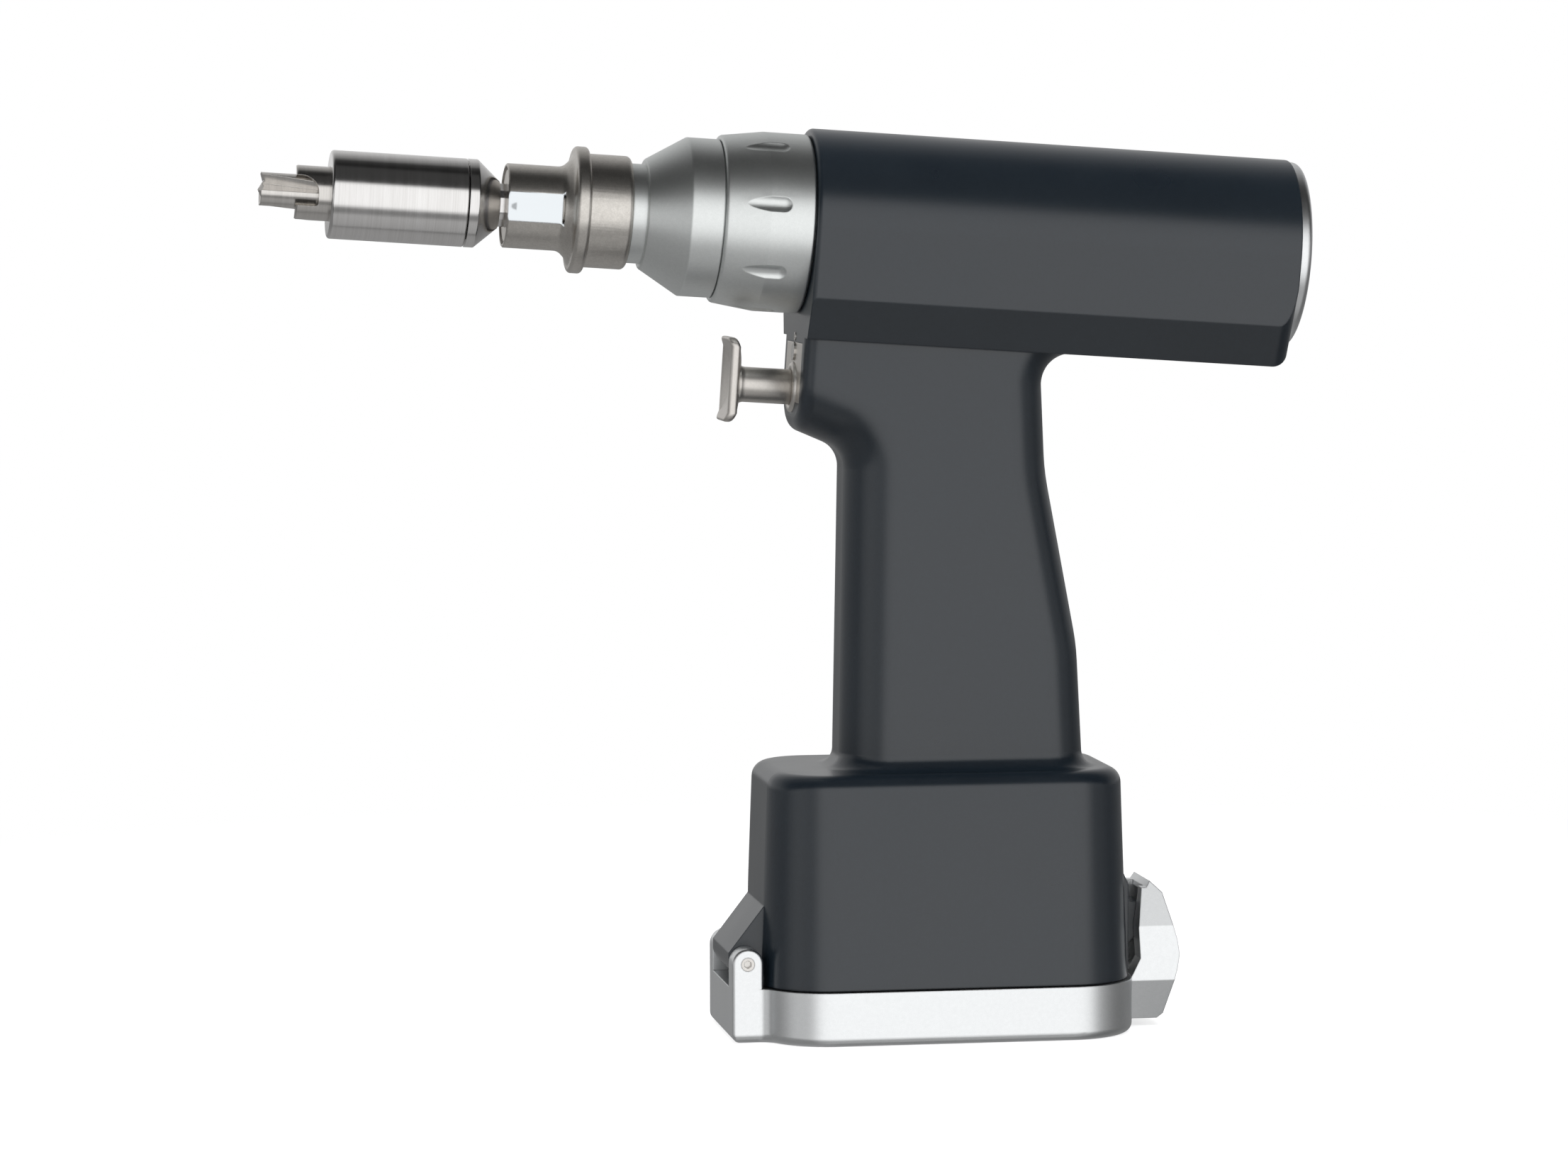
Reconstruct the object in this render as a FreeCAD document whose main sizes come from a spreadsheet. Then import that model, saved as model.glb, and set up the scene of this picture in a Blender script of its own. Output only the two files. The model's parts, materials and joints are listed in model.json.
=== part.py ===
import FreeCAD, Part
import math
import os
import re

import Sketcher

# Surgical power drill with a cranial perforator in its quick chuck.
# The drill stands on its battery lid. The origin is the centre of the lid's flat underside,
# +Z points up, the nose points to -X and the grip faces -X.
# Pieces of the barrel are drawn on the barrel's own axis and then tilted nose-up as one group.
# Lengths are millimetres and angles are degrees.

SIZES = {
    # stance
    "axis_height": 209.5,
    "barrel_tilt": 3.85,
    # clearances
    "part_gap": 0.3,
    "shaft_play": 0.05,
    "seat_play": 0.02,
    # barrel of the housing, along its axis from the front plane
    "barrel_front": -35,
    "barrel_length": 127.7,
    "barrel_radius": 25,
    "barrel_bore": 22,
    "barrel_crease": 18.5,
    "barrel_crease_half": 24,
    "barrel_floor": 29.2,
    "barrel_floor_half": 19,
    "rear_cap_radius": 24.5,
    "rear_cap_height": 3.1,
    "seal_depth": 1.4,
    # trigger block below the barrel's front
    "block_drop": 51.2,
    "block_slope": 5.2,
    "block_sweep": 7,
    "block_edge": 4,
    "front_rim": 1.2,
    "tail_chin": 4.5,
    "plate_half": 12,
    "plate_thickness": 1.6,
    "plug_radius": 2.4,
    "trigger_drop": 42.5,
    "trigger_travel": 8,
    "trigger_rod_radius": 4.6,
    "trigger_reach": 19.3,
    "trigger_height": 22,
    "trigger_half": 8,
    "trigger_thickness": 2.6,
    # grip
    "grip_half": 18,
    "grip_front": -24.9,
    "grip_front_low": -26.6,
    "grip_rear_high": 26.3,
    "grip_rear_mid": 27.6,
    "grip_rear_bend": 36.2,
    "grip_rear_low": 38.2,
    "grip_rear_sweep": 60,
    "grip_web": 8,
    "grip_wall": 3.2,
    "grip_front_round": 13.5,
    "grip_rear_round": 10,
    # battery box and its lid
    "seam_height": 14.5,
    "box_top": 70,
    "box_length": 97.5,
    "box_width": 60,
    "box_corner": 17.5,
    "box_draft": 2.1,
    "box_wall": 3,
    "box_shift": 0.2,
    "box_shoulder": 4.2,
    "foot_flare": 4,
    "lid_overhang": 1.2,
    "lid_floor": 2.6,
    "lid_wall": 3.2,
    "cell_radius": 9.1,
    "cell_length": 65,
    "board_thickness": 1.6,
    # hinge of the lid
    "hinge_reach": 4.25,
    "hinge_height": 20.7,
    "hinge_half": 20.5,
    "lug_width": 6.4,
    "lug_radius": 4.1,
    "lug_edge": 0.9,
    "hinge_pin": 1.75,
    # latch behind the lid
    "latch_reach": 6.55,
    "latch_height": 29,
    "latch_half": 13,
    "latch_eye": 3.2,
    "latch_boss_half": 6,
    "latch_pin": 1.6,
    "latch_pin_length": 18,
    "latch_pad_half": 11,
    "latch_pad_reach": 1.25,
    # lock ring and nose
    "ring_length": 23.1,
    "ring_radius": 23.3,
    "ring_lip": 21.7,
    "ring_swell": 11.4,
    "dimple_start": 5.5,
    "dimple_length": 12.2,
    "dimple_ball": 3,
    "dimple_depth": 0.85,
    "dimple_count": 8,
    "dimple_turn": 33,
    "nose_band": 8.2,
    "nose_radius": 20.6,
    "cone_length": 10.6,
    "cone_radius": 14.2,
    "neck_length": 3.7,
    "neck_radius": 12.9,
    "tube_radius": 19.2,
    "tube_bore": 17,
    # spindle and its bearings
    "spindle_radius": 6,
    "bearing_radius": 12,
    "bearing_width": 6,
    "carrier_radius": 16,
    "carrier_width": 4,
    # chuck
    "collar_length": 11.2,
    "collar_radius": 14.7,
    "flange_length": 3.7,
    "flange_radius": 16.4,
    "sleeve_length": 17.2,
    "sleeve_radius": 10.9,
    "sleeve_travel": 3.2,
    "chuck_radius": 9.2,
    "shank_radius": 5.6,
    "ball_radius": 1.95,
    # perforator
    "shank_gap": 1.6,
    "cap_cone": 5.9,
    "cap_band": 2.4,
    "perforator_length": 35.4,
    "perforator_radius": 11.4,
    "outer_drill_reach": 8.7,
    "outer_drill_radius": 7,
    "inner_drill_reach": 9.6,
    "inner_drill_radius": 4.6,
    "drill_notch": 1.4,
    "drill_core": 1.9,
    "flute_length": 15.3,
    "flute_skew": 8,
    "first_edge": 66,
    "window_length": 5.7,
    "window_half": 3.9,
    "window_turn": 84,
    "window_arch": 4.5,
    "window_toe": 0.8,
    "clutch_travel": 1.5,
    # gear train
    "gear_module": 0.8,
    "sun_teeth": 12,
    "planet_teeth": 18,
    "gear_face": 10,
    "planet_pin": 2,
    # motor
    "motor_shaft": 3,
    "motor_bearing": 9.5,
    "magnet_radius": 12.2,
    "stator_bore": 12.8,
    "coil_rise": 5,
    "motor_tail": 25.5,
    "bell_width": 7,
}


def open_document():
    doc = FreeCAD.newDocument("surgical_power_drill")
    sheet = doc.addObject("Spreadsheet::Sheet", "Sizes")
    for row, (name, number) in enumerate(SIZES.items(), start=1):
        sheet.set(f"A{row}", name)
        sheet.set(f"B{row}", str(number))
        sheet.setAlias(f"B{row}", name)
    doc.recompute()
    return doc, sheet


DOC, SHEET = open_document()
PARTS = []

# Planes across the barrel axis, each worked out from its neighbour by a named length
RING_REAR = "(barrel_front - part_gap)"
RING_FRONT = f"({RING_REAR} - ring_length)"
NOSE_REAR = f"({RING_FRONT} - part_gap)"
CONE_REAR = f"({NOSE_REAR} - nose_band)"
CONE_FRONT = f"({CONE_REAR} - cone_length)"
NECK_FRONT = f"({CONE_FRONT} - neck_length)"
COLLAR_FRONT = f"({NECK_FRONT} - collar_length)"
FLANGE_FRONT = f"({COLLAR_FRONT} - flange_length)"
SLEEVE_FRONT = f"({FLANGE_FRONT} - sleeve_length)"
CAP_REAR = f"({SLEEVE_FRONT} - shank_gap)"
CAP_CONE = f"({CAP_REAR} - cap_cone)"
CAP_FRONT = f"({CAP_CONE} - cap_band)"
PERFORATOR_FRONT = f"({CAP_FRONT} - perforator_length)"
OUTER_TIP = f"({PERFORATOR_FRONT} - outer_drill_reach)"
INNER_TIP = f"({OUTER_TIP} - inner_drill_reach)"
BARREL_REAR = "(barrel_front + barrel_length)"
SEAL_FRONT = f"({BARREL_REAR} - 3.4)"
CARRIER_FRONT = "(barrel_front - 1.5)"
CARRIER_REAR = f"({CARRIER_FRONT} + carrier_width)"
GEAR_FRONT = f"({CARRIER_REAR} + 0.7)"
GEAR_REAR = f"({GEAR_FRONT} + gear_face)"
MOTOR_FRONT = f"({GEAR_REAR} + 1)"
STATOR_FRONT = f"({MOTOR_FRONT} + coil_rise + 9)"
BELL_REAR = f"({BARREL_REAR} - motor_tail)"
BELL_FRONT = f"({BELL_REAR} - bell_width)"
STATOR_REAR = f"({BELL_FRONT} - coil_rise - 4)"
HOLLOW_WIDTH = "((grip_half - grip_wall - 1) * 2)"
TRIGGER_STOP = "(barrel_front + 10 + trigger_travel + 5)"
HINGE_X = "(0 - box_length / 2 - hinge_reach)"
LATCH_X = "(box_length / 2 + latch_reach)"
CENTRE_DISTANCE = "(gear_module * (sun_teeth + planet_teeth) / 2)"
RING_TEETH = "(sun_teeth + 2 * planet_teeth)"


def linked(text):
    """Point every size name in an expression at its cell of the sheet."""
    return re.sub(r"[a-z_]+", lambda word: f"Sizes.{word[0]}" if word[0] in SIZES else word[0], str(text))


def value(text):
    return float(SHEET.evalExpression(linked(text)))


def bind(thing, prop, text):
    thing.setExpression(prop, linked(text))


def new_body(label):
    body = DOC.addObject("PartDesign::Body", label)
    body.Label = label
    PARTS.append(body)
    return body


def origin_feature(body, role):
    return next(item for item in body.Origin.OriginFeatures if item.Role == role)


def new_sketch(body, name, role, offset=None):
    sketch = body.newObject("Sketcher::SketchObject", f"{body.Name}_{name}")
    sketch.AttachmentSupport = (origin_feature(body, role), [""])
    sketch.MapMode = "FlatFace"
    if offset is not None:
        sketch.AttachmentOffset = offset
    return sketch


def fix_point(sketch, geometry, end, across, up):
    """Hold one point of a sketch at two expressions, on an axis where an expression is 0."""
    for kind, text, axis in (("DistanceX", across, -2), ("DistanceY", up, -1)):
        if str(text) == "0":
            sketch.addConstraint(Sketcher.Constraint("PointOnObject", geometry, end, axis))
        else:
            index = sketch.addConstraint(Sketcher.Constraint(kind, -1, 1, geometry, end, value(text)))
            bind(sketch, f"Constraints[{index}]", text)


def add_polygon(sketch, points):
    """Closed outline through points that are pairs of expressions."""
    corners = [FreeCAD.Vector(value(across), value(up), 0) for across, up in points]
    count = len(corners)
    first = sketch.GeometryCount
    for index, corner in enumerate(corners):
        sketch.addGeometry(Part.LineSegment(corner, corners[(index + 1) % count]), False)
    for index in range(count):
        follower = first + (index + 1) % count
        sketch.addConstraint(Sketcher.Constraint("Coincident", first + index, 2, follower, 1))
    for index, (across, up) in enumerate(points):
        fix_point(sketch, first + index, 1, across, up)


def add_circle(sketch, across, up, radius):
    centre = FreeCAD.Vector(value(across), value(up), 0)
    index = sketch.addGeometry(Part.Circle(centre, FreeCAD.Vector(0, 0, 1), value(radius)), False)
    fix_point(sketch, index, 3, across, up)
    size = sketch.addConstraint(Sketcher.Constraint("Radius", index, value(radius)))
    bind(sketch, f"Constraints[{size}]", radius)


def add_rounded_rectangle(sketch, centre, half_length, half_width, corner):
    """Rectangle with arc corners, about a centre on the sketch's first axis."""
    middle, long, wide, arc = value(centre), value(half_length), value(half_width), value(corner)
    turn = math.pi / 2
    normal = FreeCAD.Vector(0, 0, 1)
    lines, arcs = [], []
    for quarter, (sx, sy) in enumerate(((1, 1), (-1, 1), (-1, -1), (1, -1))):
        hub = FreeCAD.Vector(middle + sx * (long - arc), sy * (wide - arc), 0)
        circle = Part.Circle(hub, normal, arc)
        arcs.append(sketch.addGeometry(Part.ArcOfCircle(circle, quarter * turn, (quarter + 1) * turn), False))
    for quarter in range(4):
        start = sketch.getPoint(arcs[quarter], 2)
        end = sketch.getPoint(arcs[(quarter + 1) % 4], 1)
        lines.append(sketch.addGeometry(Part.LineSegment(start, end), False))
    for quarter in range(4):
        sketch.addConstraint(Sketcher.Constraint("Tangent", arcs[quarter], 2, lines[quarter], 1))
        sketch.addConstraint(Sketcher.Constraint("Tangent", lines[quarter], 2, arcs[(quarter + 1) % 4], 1))
    size = sketch.addConstraint(Sketcher.Constraint("Radius", arcs[0], arc))
    bind(sketch, f"Constraints[{size}]", corner)
    for other in arcs[1:]:
        sketch.addConstraint(Sketcher.Constraint("Equal", arcs[0], other))
    places = ((0, 1, "DistanceY", half_width), (1, 1, "DistanceX", f"({centre}) - ({half_length})"),
              (2, 1, "DistanceY", f"-({half_width})"), (3, 1, "DistanceX", f"({centre}) + ({half_length})"))
    for quarter, end, kind, text in places:
        index = sketch.addConstraint(Sketcher.Constraint(kind, -1, 1, lines[quarter], end, value(text)))
        bind(sketch, f"Constraints[{index}]", text)


def pad(body, sketch, length, symmetric=False, reverse=False, taper=None):
    feature = body.newObject("PartDesign::Pad", f"{sketch.Name}_pad")
    feature.Profile = (sketch, [""])
    feature.SideType = "Symmetric" if symmetric else "One side"
    feature.Reversed = reverse
    bind(feature, "Length", length)
    if taper is not None:
        bind(feature, "TaperAngle", taper)
    DOC.recompute()
    return feature


def pocket(body, sketch, length=None, symmetric=False, reverse=False, taper=None):
    """Cut a sketch out of its body and insist that material went."""
    before = body.Shape.Volume
    feature = body.newObject("PartDesign::Pocket", f"{sketch.Name}_pocket")
    feature.Profile = (sketch, [""])
    feature.SideType = "Symmetric" if symmetric else "One side"
    feature.Reversed = reverse
    if length is None:
        feature.Type = "ThroughAll"
    else:
        bind(feature, "Length", length)
    if taper is not None:
        bind(feature, "TaperAngle", taper)
    DOC.recompute()
    if body.Shape.Volume > before - 0.01:
        raise ValueError(f"{feature.Name} cuts nothing")
    return feature


def around(body, feature, copies, role="X_Axis"):
    """Repeat a feature evenly round one of the body's axes."""
    pattern = body.newObject("PartDesign::PolarPattern", f"{feature.Name}_round")
    pattern.Originals = [feature]
    pattern.Axis = (origin_feature(body, role), [""])
    pattern.Angle = 360
    pattern.Occurrences = copies
    body.Tip = pattern
    DOC.recompute()
    return pattern


def revolve(body, name, points):
    """Full turn of an outline of (along, radius) pairs about the X axis."""
    sketch = new_sketch(body, name, "XZ_Plane")
    add_polygon(sketch, points)
    feature = body.newObject("PartDesign::Revolution", f"{body.Name}_{name}_turn")
    feature.Profile = (sketch, [""])
    feature.ReferenceAxis = (sketch, ["H_Axis"])
    feature.Angle = 360
    DOC.recompute()
    return feature


def groove(body, name, points):
    before = body.Shape.Volume
    sketch = new_sketch(body, name, "XZ_Plane")
    add_polygon(sketch, points)
    feature = body.newObject("PartDesign::Groove", f"{body.Name}_{name}_cut")
    feature.Profile = (sketch, [""])
    feature.ReferenceAxis = (sketch, ["H_Axis"])
    feature.Angle = 360
    DOC.recompute()
    if body.Shape.Volume > before - 0.01:
        raise ValueError(f"{feature.Name} cuts nothing")
    return feature


def soften(body, name, kind, size, wanted):
    """Fillet or chamfer those edges of the body for which wanted(edge) holds."""
    names = [f"Edge{index}" for index, edge in enumerate(body.Tip.Shape.Edges, start=1) if wanted(edge)]
    if not names:
        raise ValueError(f"{body.Name} has no edge for {name}")
    base = body.Tip
    feature = body.newObject(f"PartDesign::{kind}", f"{body.Name}_{name}")
    feature.Base = (base, names)
    bind(feature, "Radius" if kind == "Fillet" else "Size", size)
    body.Tip = feature
    DOC.recompute()
    return feature


def ring_edges(*places):
    """Test for circular edges about the barrel axis at (along, radius) places."""
    spots = [(value(along), value(radius)) for along, radius in places]

    def wanted(edge):
        if not isinstance(edge.Curve, Part.Circle):
            return False
        along, radius = edge.Curve.Center.x, edge.Curve.Radius
        return any(abs(along - x) < 0.01 and abs(radius - r) < 0.01 for x, r in spots)

    return wanted


def fillet_rings(body, name, size, *places):
    return soften(body, name, "Fillet", size, ring_edges(*places))


def chamfer_rings(body, name, size, *places):
    return soften(body, name, "Chamfer", size, ring_edges(*places))


def tilt_with_barrel(item):
    """Carry a piece drawn on the barrel's axis to its place on the drill."""
    rotation = FreeCAD.Rotation(FreeCAD.Vector(0, 1, 0), value("barrel_tilt"))
    item.Placement = FreeCAD.Placement(FreeCAD.Vector(0, 0, value("axis_height")), rotation)
    bind(item, ".Placement.Base.z", "axis_height")
    bind(item, ".Placement.Rotation.Angle", "barrel_tilt")


def turned(label, points):
    """A turned piece on the barrel's axis."""
    body = new_body(label)
    revolve(body, "profile", points)
    tilt_with_barrel(body)
    return body


def tube(label, front, rear, outer, inner):
    return turned(label, [(front, inner), (front, outer), (rear, outer), (rear, inner)])


def disc(label, front, rear, radius):
    return turned(label, [(front, "0"), (front, radius), (rear, radius), (rear, "0")])


def shaped(label, shape):
    """A piece on the barrel's axis whose form no sketch feature gives."""
    moved = shape.Placement.toMatrix()
    shape.Placement = FreeCAD.Placement()
    item = DOC.addObject("Part::Feature", label)
    item.Label = label
    item.Shape = shape.transformed(moved, True)
    tilt_with_barrel(item)
    PARTS.append(item)
    return item


def barrel_offset(along=0):
    """Sketch frame square to the barrel axis, measured from the upright YZ plane."""
    tilt = FreeCAD.Rotation(FreeCAD.Vector(1, 0, 0), value("barrel_tilt"))
    step = tilt.multVec(FreeCAD.Vector(0, 0, along))
    return FreeCAD.Placement(FreeCAD.Vector(0, value("axis_height"), 0) + step, tilt)


def side_offset():
    """Sketch frame of the barrel's own upright side plane."""
    tilt = FreeCAD.Rotation(FreeCAD.Vector(0, 0, 1), -value("barrel_tilt"))
    return FreeCAD.Placement(FreeCAD.Vector(0, value("axis_height"), 0), tilt)


def along_y(edge, low, high):
    """True for an edge that runs across the drill between two (x, z) limits."""
    box = edge.BoundBox
    flat = box.XLength < 0.01 and box.ZLength < 0.01
    return flat and low[0] <= box.XMin <= high[0] and low[1] <= box.ZMin <= high[1]


def housing_grip(body):
    """Grip column and trigger block as one side profile, rounded, then faced off in front."""
    foot = "(box_top - 8)"
    chin = "(axis_height - block_drop)"
    top = "(axis_height - barrel_crease)"
    belly = "(axis_height - barrel_floor / cos(barrel_tilt) + 0.03)"
    reach = "(grip_rear_high + grip_web * 2)"
    sketch = new_sketch(body, "grip", "XZ_Plane")
    add_polygon(sketch, [
        ("grip_front_low", foot), ("grip_front", f"{chin} - block_slope"),
        ("grip_front - 26", f"{chin} + 6"), ("grip_front - 26", top),
        (reach, top), (reach, f"{belly} - {reach} * tan(barrel_tilt)"),
        ("grip_rear_high", f"{belly} - grip_rear_high * tan(barrel_tilt)"),
        ("grip_rear_mid", "axis_height - 62"), ("grip_rear_bend", "axis_height - 108"),
        ("grip_rear_low", foot)])
    pad(body, sketch, "grip_half * 2", symmetric=True)
    front, rear = value("grip_front"), value("grip_rear_high")
    floor, crown, neck = value(foot), value(top), value(chin)
    soften(body, "front_sweep", "Fillet", "block_sweep",
           lambda edge: along_y(edge, (front - 1, floor + 20), (front + 1, neck)))
    soften(body, "rear_sweep", "Fillet", "grip_rear_sweep",
           lambda edge: along_y(edge, (rear + 1, floor + 20), (rear + 13, neck)))
    soften(body, "rear_web", "Fillet", "grip_web",
           lambda edge: along_y(edge, (rear - 1, neck), (rear + 1, crown - 2)))
    soften(body, "front_round", "Fillet", "grip_front_round",
           lambda edge: abs(edge.BoundBox.YLength) < 0.01 and edge.BoundBox.XMax < front + 3
           and edge.BoundBox.XLength + edge.BoundBox.ZLength > 3 and edge.BoundBox.ZMax < neck + 8)
    soften(body, "rear_round", "Fillet", "grip_rear_round",
           lambda edge: abs(edge.BoundBox.YLength) < 0.01 and edge.BoundBox.XMin > rear - 2
           and edge.BoundBox.ZMax < value(belly) - 1)
    face = new_sketch(body, "face", "XZ_Plane", side_offset())
    add_polygon(face, [
        ("barrel_front - 30", "-block_drop - 20"), ("barrel_front", "-block_drop - 20"),
        ("barrel_front", "0"), ("barrel_front - 30", "0")])
    pocket(body, face, "grip_half * 4", symmetric=True)
    plane = value("barrel_front")
    soften(body, "face_edge", "Fillet", "block_edge",
           lambda edge: at_plane(edge, plane) and below_barrel(edge))


def below_barrel(edge):
    """True for an edge with some stretch under the barrel's crease."""
    return local(edge.CenterOfMass).z < -value("barrel_crease") - 1


def housing_box(body):
    """Battery box: rounded plan, slight draft, soft shoulders and a flared foot of the grip."""
    sketch = new_sketch(body, "box", "XY_Plane")
    bind(sketch, ".AttachmentOffset.Base.z", "seam_height")
    add_rounded_rectangle(sketch, "box_shift", "box_length / 2", "box_width / 2", "box_corner")
    pad(body, sketch, "box_top - seam_height", taper="-box_draft")
    top = value("box_top")
    half_grip = value("grip_half") + 0.1
    grip_front, grip_rear = value("grip_front_low") - 1, value("grip_rear_low") + 1

    def level(edge):
        return edge.BoundBox.ZLength < 0.01 and abs(edge.BoundBox.ZMin - top) < 0.01

    def foot(edge):
        box = edge.BoundBox
        return level(edge) and box.XMin > grip_front and box.XMax < grip_rear and box.YMax < half_grip

    soften(body, "box_shoulder", "Fillet", "box_shoulder", lambda edge: level(edge) and not foot(edge))
    soften(body, "grip_foot", "Fillet", "foot_flare", foot)


def housing_barrel(body):
    """Barrel: a round back, a crease low on each side and a flat belly."""
    sketch = new_sketch(body, "barrel", "YZ_Plane", barrel_offset(value("barrel_front")))
    radius = value("barrel_radius")
    crown = Part.ArcOfCircle(Part.Circle(FreeCAD.Vector(), FreeCAD.Vector(0, 0, 1), radius), 0, math.pi)
    arc = sketch.addGeometry(crown, False)
    sketch.addConstraint(Sketcher.Constraint("Coincident", arc, 3, -1, 1))
    size = sketch.addConstraint(Sketcher.Constraint("Radius", arc, radius))
    bind(sketch, f"Constraints[{size}]", "barrel_radius")
    sketch.addConstraint(Sketcher.Constraint("PointOnObject", arc, 1, -1))
    sketch.addConstraint(Sketcher.Constraint("PointOnObject", arc, 2, -1))
    corners = [("barrel_radius", "0"), ("barrel_crease_half", "-barrel_crease"),
               ("barrel_floor_half", "-barrel_floor"), ("-barrel_floor_half", "-barrel_floor"),
               ("-barrel_crease_half", "-barrel_crease"), ("-barrel_radius", "0")]
    places = [FreeCAD.Vector(value(across), value(up), 0) for across, up in corners]
    spans = zip(places, places[1:])
    lines = [sketch.addGeometry(Part.LineSegment(start, end), False) for start, end in spans]
    sketch.addConstraint(Sketcher.Constraint("Coincident", arc, 1, lines[0], 1))
    sketch.addConstraint(Sketcher.Constraint("Coincident", arc, 2, lines[-1], 2))
    for first, second in zip(lines, lines[1:]):
        sketch.addConstraint(Sketcher.Constraint("Coincident", first, 2, second, 1))
    for line, (across, up) in zip(lines[1:], corners[1:]):
        fix_point(sketch, line, 1, across, up)
    pad(body, sketch, "barrel_length")


def local(point):
    """Place on the barrel's axis frame of a point of the drill: (along, across, up)."""
    turn = FreeCAD.Rotation(FreeCAD.Vector(0, 1, 0), -value("barrel_tilt"))
    return turn.multVec(point - FreeCAD.Vector(0, 0, value("axis_height")))


def at_plane(edge, along):
    """True for an edge that lies in one plane across the barrel's axis."""
    spots = [local(vertex.Point) for vertex in edge.Vertexes]
    middle = local(edge.valueAt((edge.FirstParameter + edge.LastParameter) / 2))
    return all(abs(spot.x - along) < 0.01 for spot in spots + [middle])


def housing_ends(body):
    """Softened rim at the barrel's front, a rounder one under its rear and the plate's recess."""
    front, rear = value("barrel_front"), value(BARREL_REAR)
    soften(body, "front_rim", "Fillet", "front_rim",
           lambda edge: at_plane(edge, front) and not below_barrel(edge) and isinstance(edge.Curve, Part.Circle))
    soften(body, "tail_chin", "Fillet", "tail_chin",
           lambda edge: at_plane(edge, rear) and below_barrel(edge))
    recess = new_sketch(body, "plate_recess", "YZ_Plane", barrel_offset(value("barrel_front")))
    add_polygon(recess, plate_outline("0"))
    pocket(body, recess, "plate_thickness", reverse=True)


def plate_outline(gap):
    """Corners of the trigger plate, or of its recess with a gap round it."""
    wide, low, high = f"plate_half + {gap}", f"-block_drop + 5 - {gap}", f"-barrel_floor - 1.5 + {gap}"
    return [(f"-({wide})", low), (wide, low), (wide, high), (f"-({wide})", high)]


def housing_hollows(body):
    """Barrel bore, battery well, the way up the grip and the trigger's bore."""
    bore = new_sketch(body, "bore", "YZ_Plane", barrel_offset(value("barrel_front")))
    add_circle(bore, "0", "0", "barrel_bore")
    pocket(body, bore, reverse=True)
    well = new_sketch(body, "well", "XY_Plane")
    bind(well, ".AttachmentOffset.Base.z", "seam_height")
    add_rounded_rectangle(well, "box_shift", "box_length / 2 - box_wall", "box_width / 2 - box_wall",
                          "box_corner - box_wall")
    pocket(body, well, "box_top - seam_height - box_wall", reverse=True, taper="-box_draft")
    shaft = new_sketch(body, "shaft", "XZ_Plane")
    add_polygon(shaft, [
        ("grip_front_low + grip_wall + 2", "box_top - box_wall - 2"),
        ("grip_front + grip_wall + 2", "axis_height - block_drop + 4"),
        ("grip_front + grip_wall + 2", "axis_height - barrel_bore + 1"),
        ("grip_rear_high - grip_wall - 2", "axis_height - barrel_bore + 1"),
        ("grip_rear_high - grip_wall - 2", "axis_height - 60"),
        ("grip_rear_bend - grip_wall - 4", "axis_height - 112"),
        ("grip_rear_low - grip_wall - 3", "box_top - box_wall - 2")])
    pocket(body, shaft, HOLLOW_WIDTH, symmetric=True)
    trigger = new_sketch(body, "trigger_bore", "YZ_Plane", barrel_offset(value("barrel_front")))
    add_circle(trigger, "0", "-trigger_drop", "trigger_rod_radius + 2")
    pocket(body, trigger, "20", reverse=True)


def housing_knuckle(body):
    """Hinge knuckle on the box's front wall: a round end that runs up into the wall as a rib."""
    sketch = new_sketch(body, "knuckle", "XZ_Plane")
    front, rear, crest = f"{HINGE_X} - lug_radius", "-box_length / 2 + 6", "hinge_height + 14.6"
    add_polygon(sketch, [
        (HINGE_X, "hinge_height - lug_radius"), (front, "hinge_height"), (front, "hinge_height + 2.2"),
        ("-box_length / 2 + box_shift + 1", crest), (rear, crest), (rear, "hinge_height - lug_radius")])
    pad(body, sketch, "(hinge_half - lug_width - part_gap) * 2", symmetric=True)
    eye = new_sketch(body, "knuckle_eye", "XZ_Plane")
    add_circle(eye, HINGE_X, "hinge_height", "lug_radius")
    pad(body, eye, "(hinge_half - lug_width - part_gap) * 2", symmetric=True)
    hole = new_sketch(body, "knuckle_bore", "XZ_Plane")
    add_circle(hole, HINGE_X, "hinge_height", "hinge_pin + shaft_play")
    pocket(body, hole, "(hinge_half + 2) * 2", symmetric=True)


def housing_latch_boss(body):
    """Pad on the box's rear wall with a boss that carries the latch's pin between its cheeks."""
    wall = "box_length / 2 + box_shift - 4"
    face = "box_length / 2 + latch_pad_reach"
    plate = new_sketch(body, "latch_pad", "XZ_Plane")
    add_polygon(plate, [
        (wall, "seam_height + 0.8"), (face, "seam_height + 0.8"), (face, "latch_height + 9"),
        (f"{face} - 2.2", "latch_height + 14"), (wall, "latch_height + 14")])
    pad(body, plate, "latch_pad_half * 2", symmetric=True)
    sketch = new_sketch(body, "latch_boss", "XZ_Plane")
    add_polygon(sketch, [
        (wall, "seam_height + 1"), (LATCH_X, "latch_height - latch_eye"),
        (LATCH_X, "latch_height + latch_eye"), (wall, "latch_height + latch_eye + 2")])
    pad(body, sketch, "latch_boss_half * 2", symmetric=True)
    eye = new_sketch(body, "latch_eye", "XZ_Plane")
    add_circle(eye, LATCH_X, "latch_height", "latch_eye")
    pad(body, eye, "latch_boss_half * 2", symmetric=True)
    hole = new_sketch(body, "latch_bore", "XZ_Plane")
    add_circle(hole, LATCH_X, "latch_height", "latch_pin + shaft_play")
    pocket(body, hole, "latch_boss_half * 4", symmetric=True)


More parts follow.
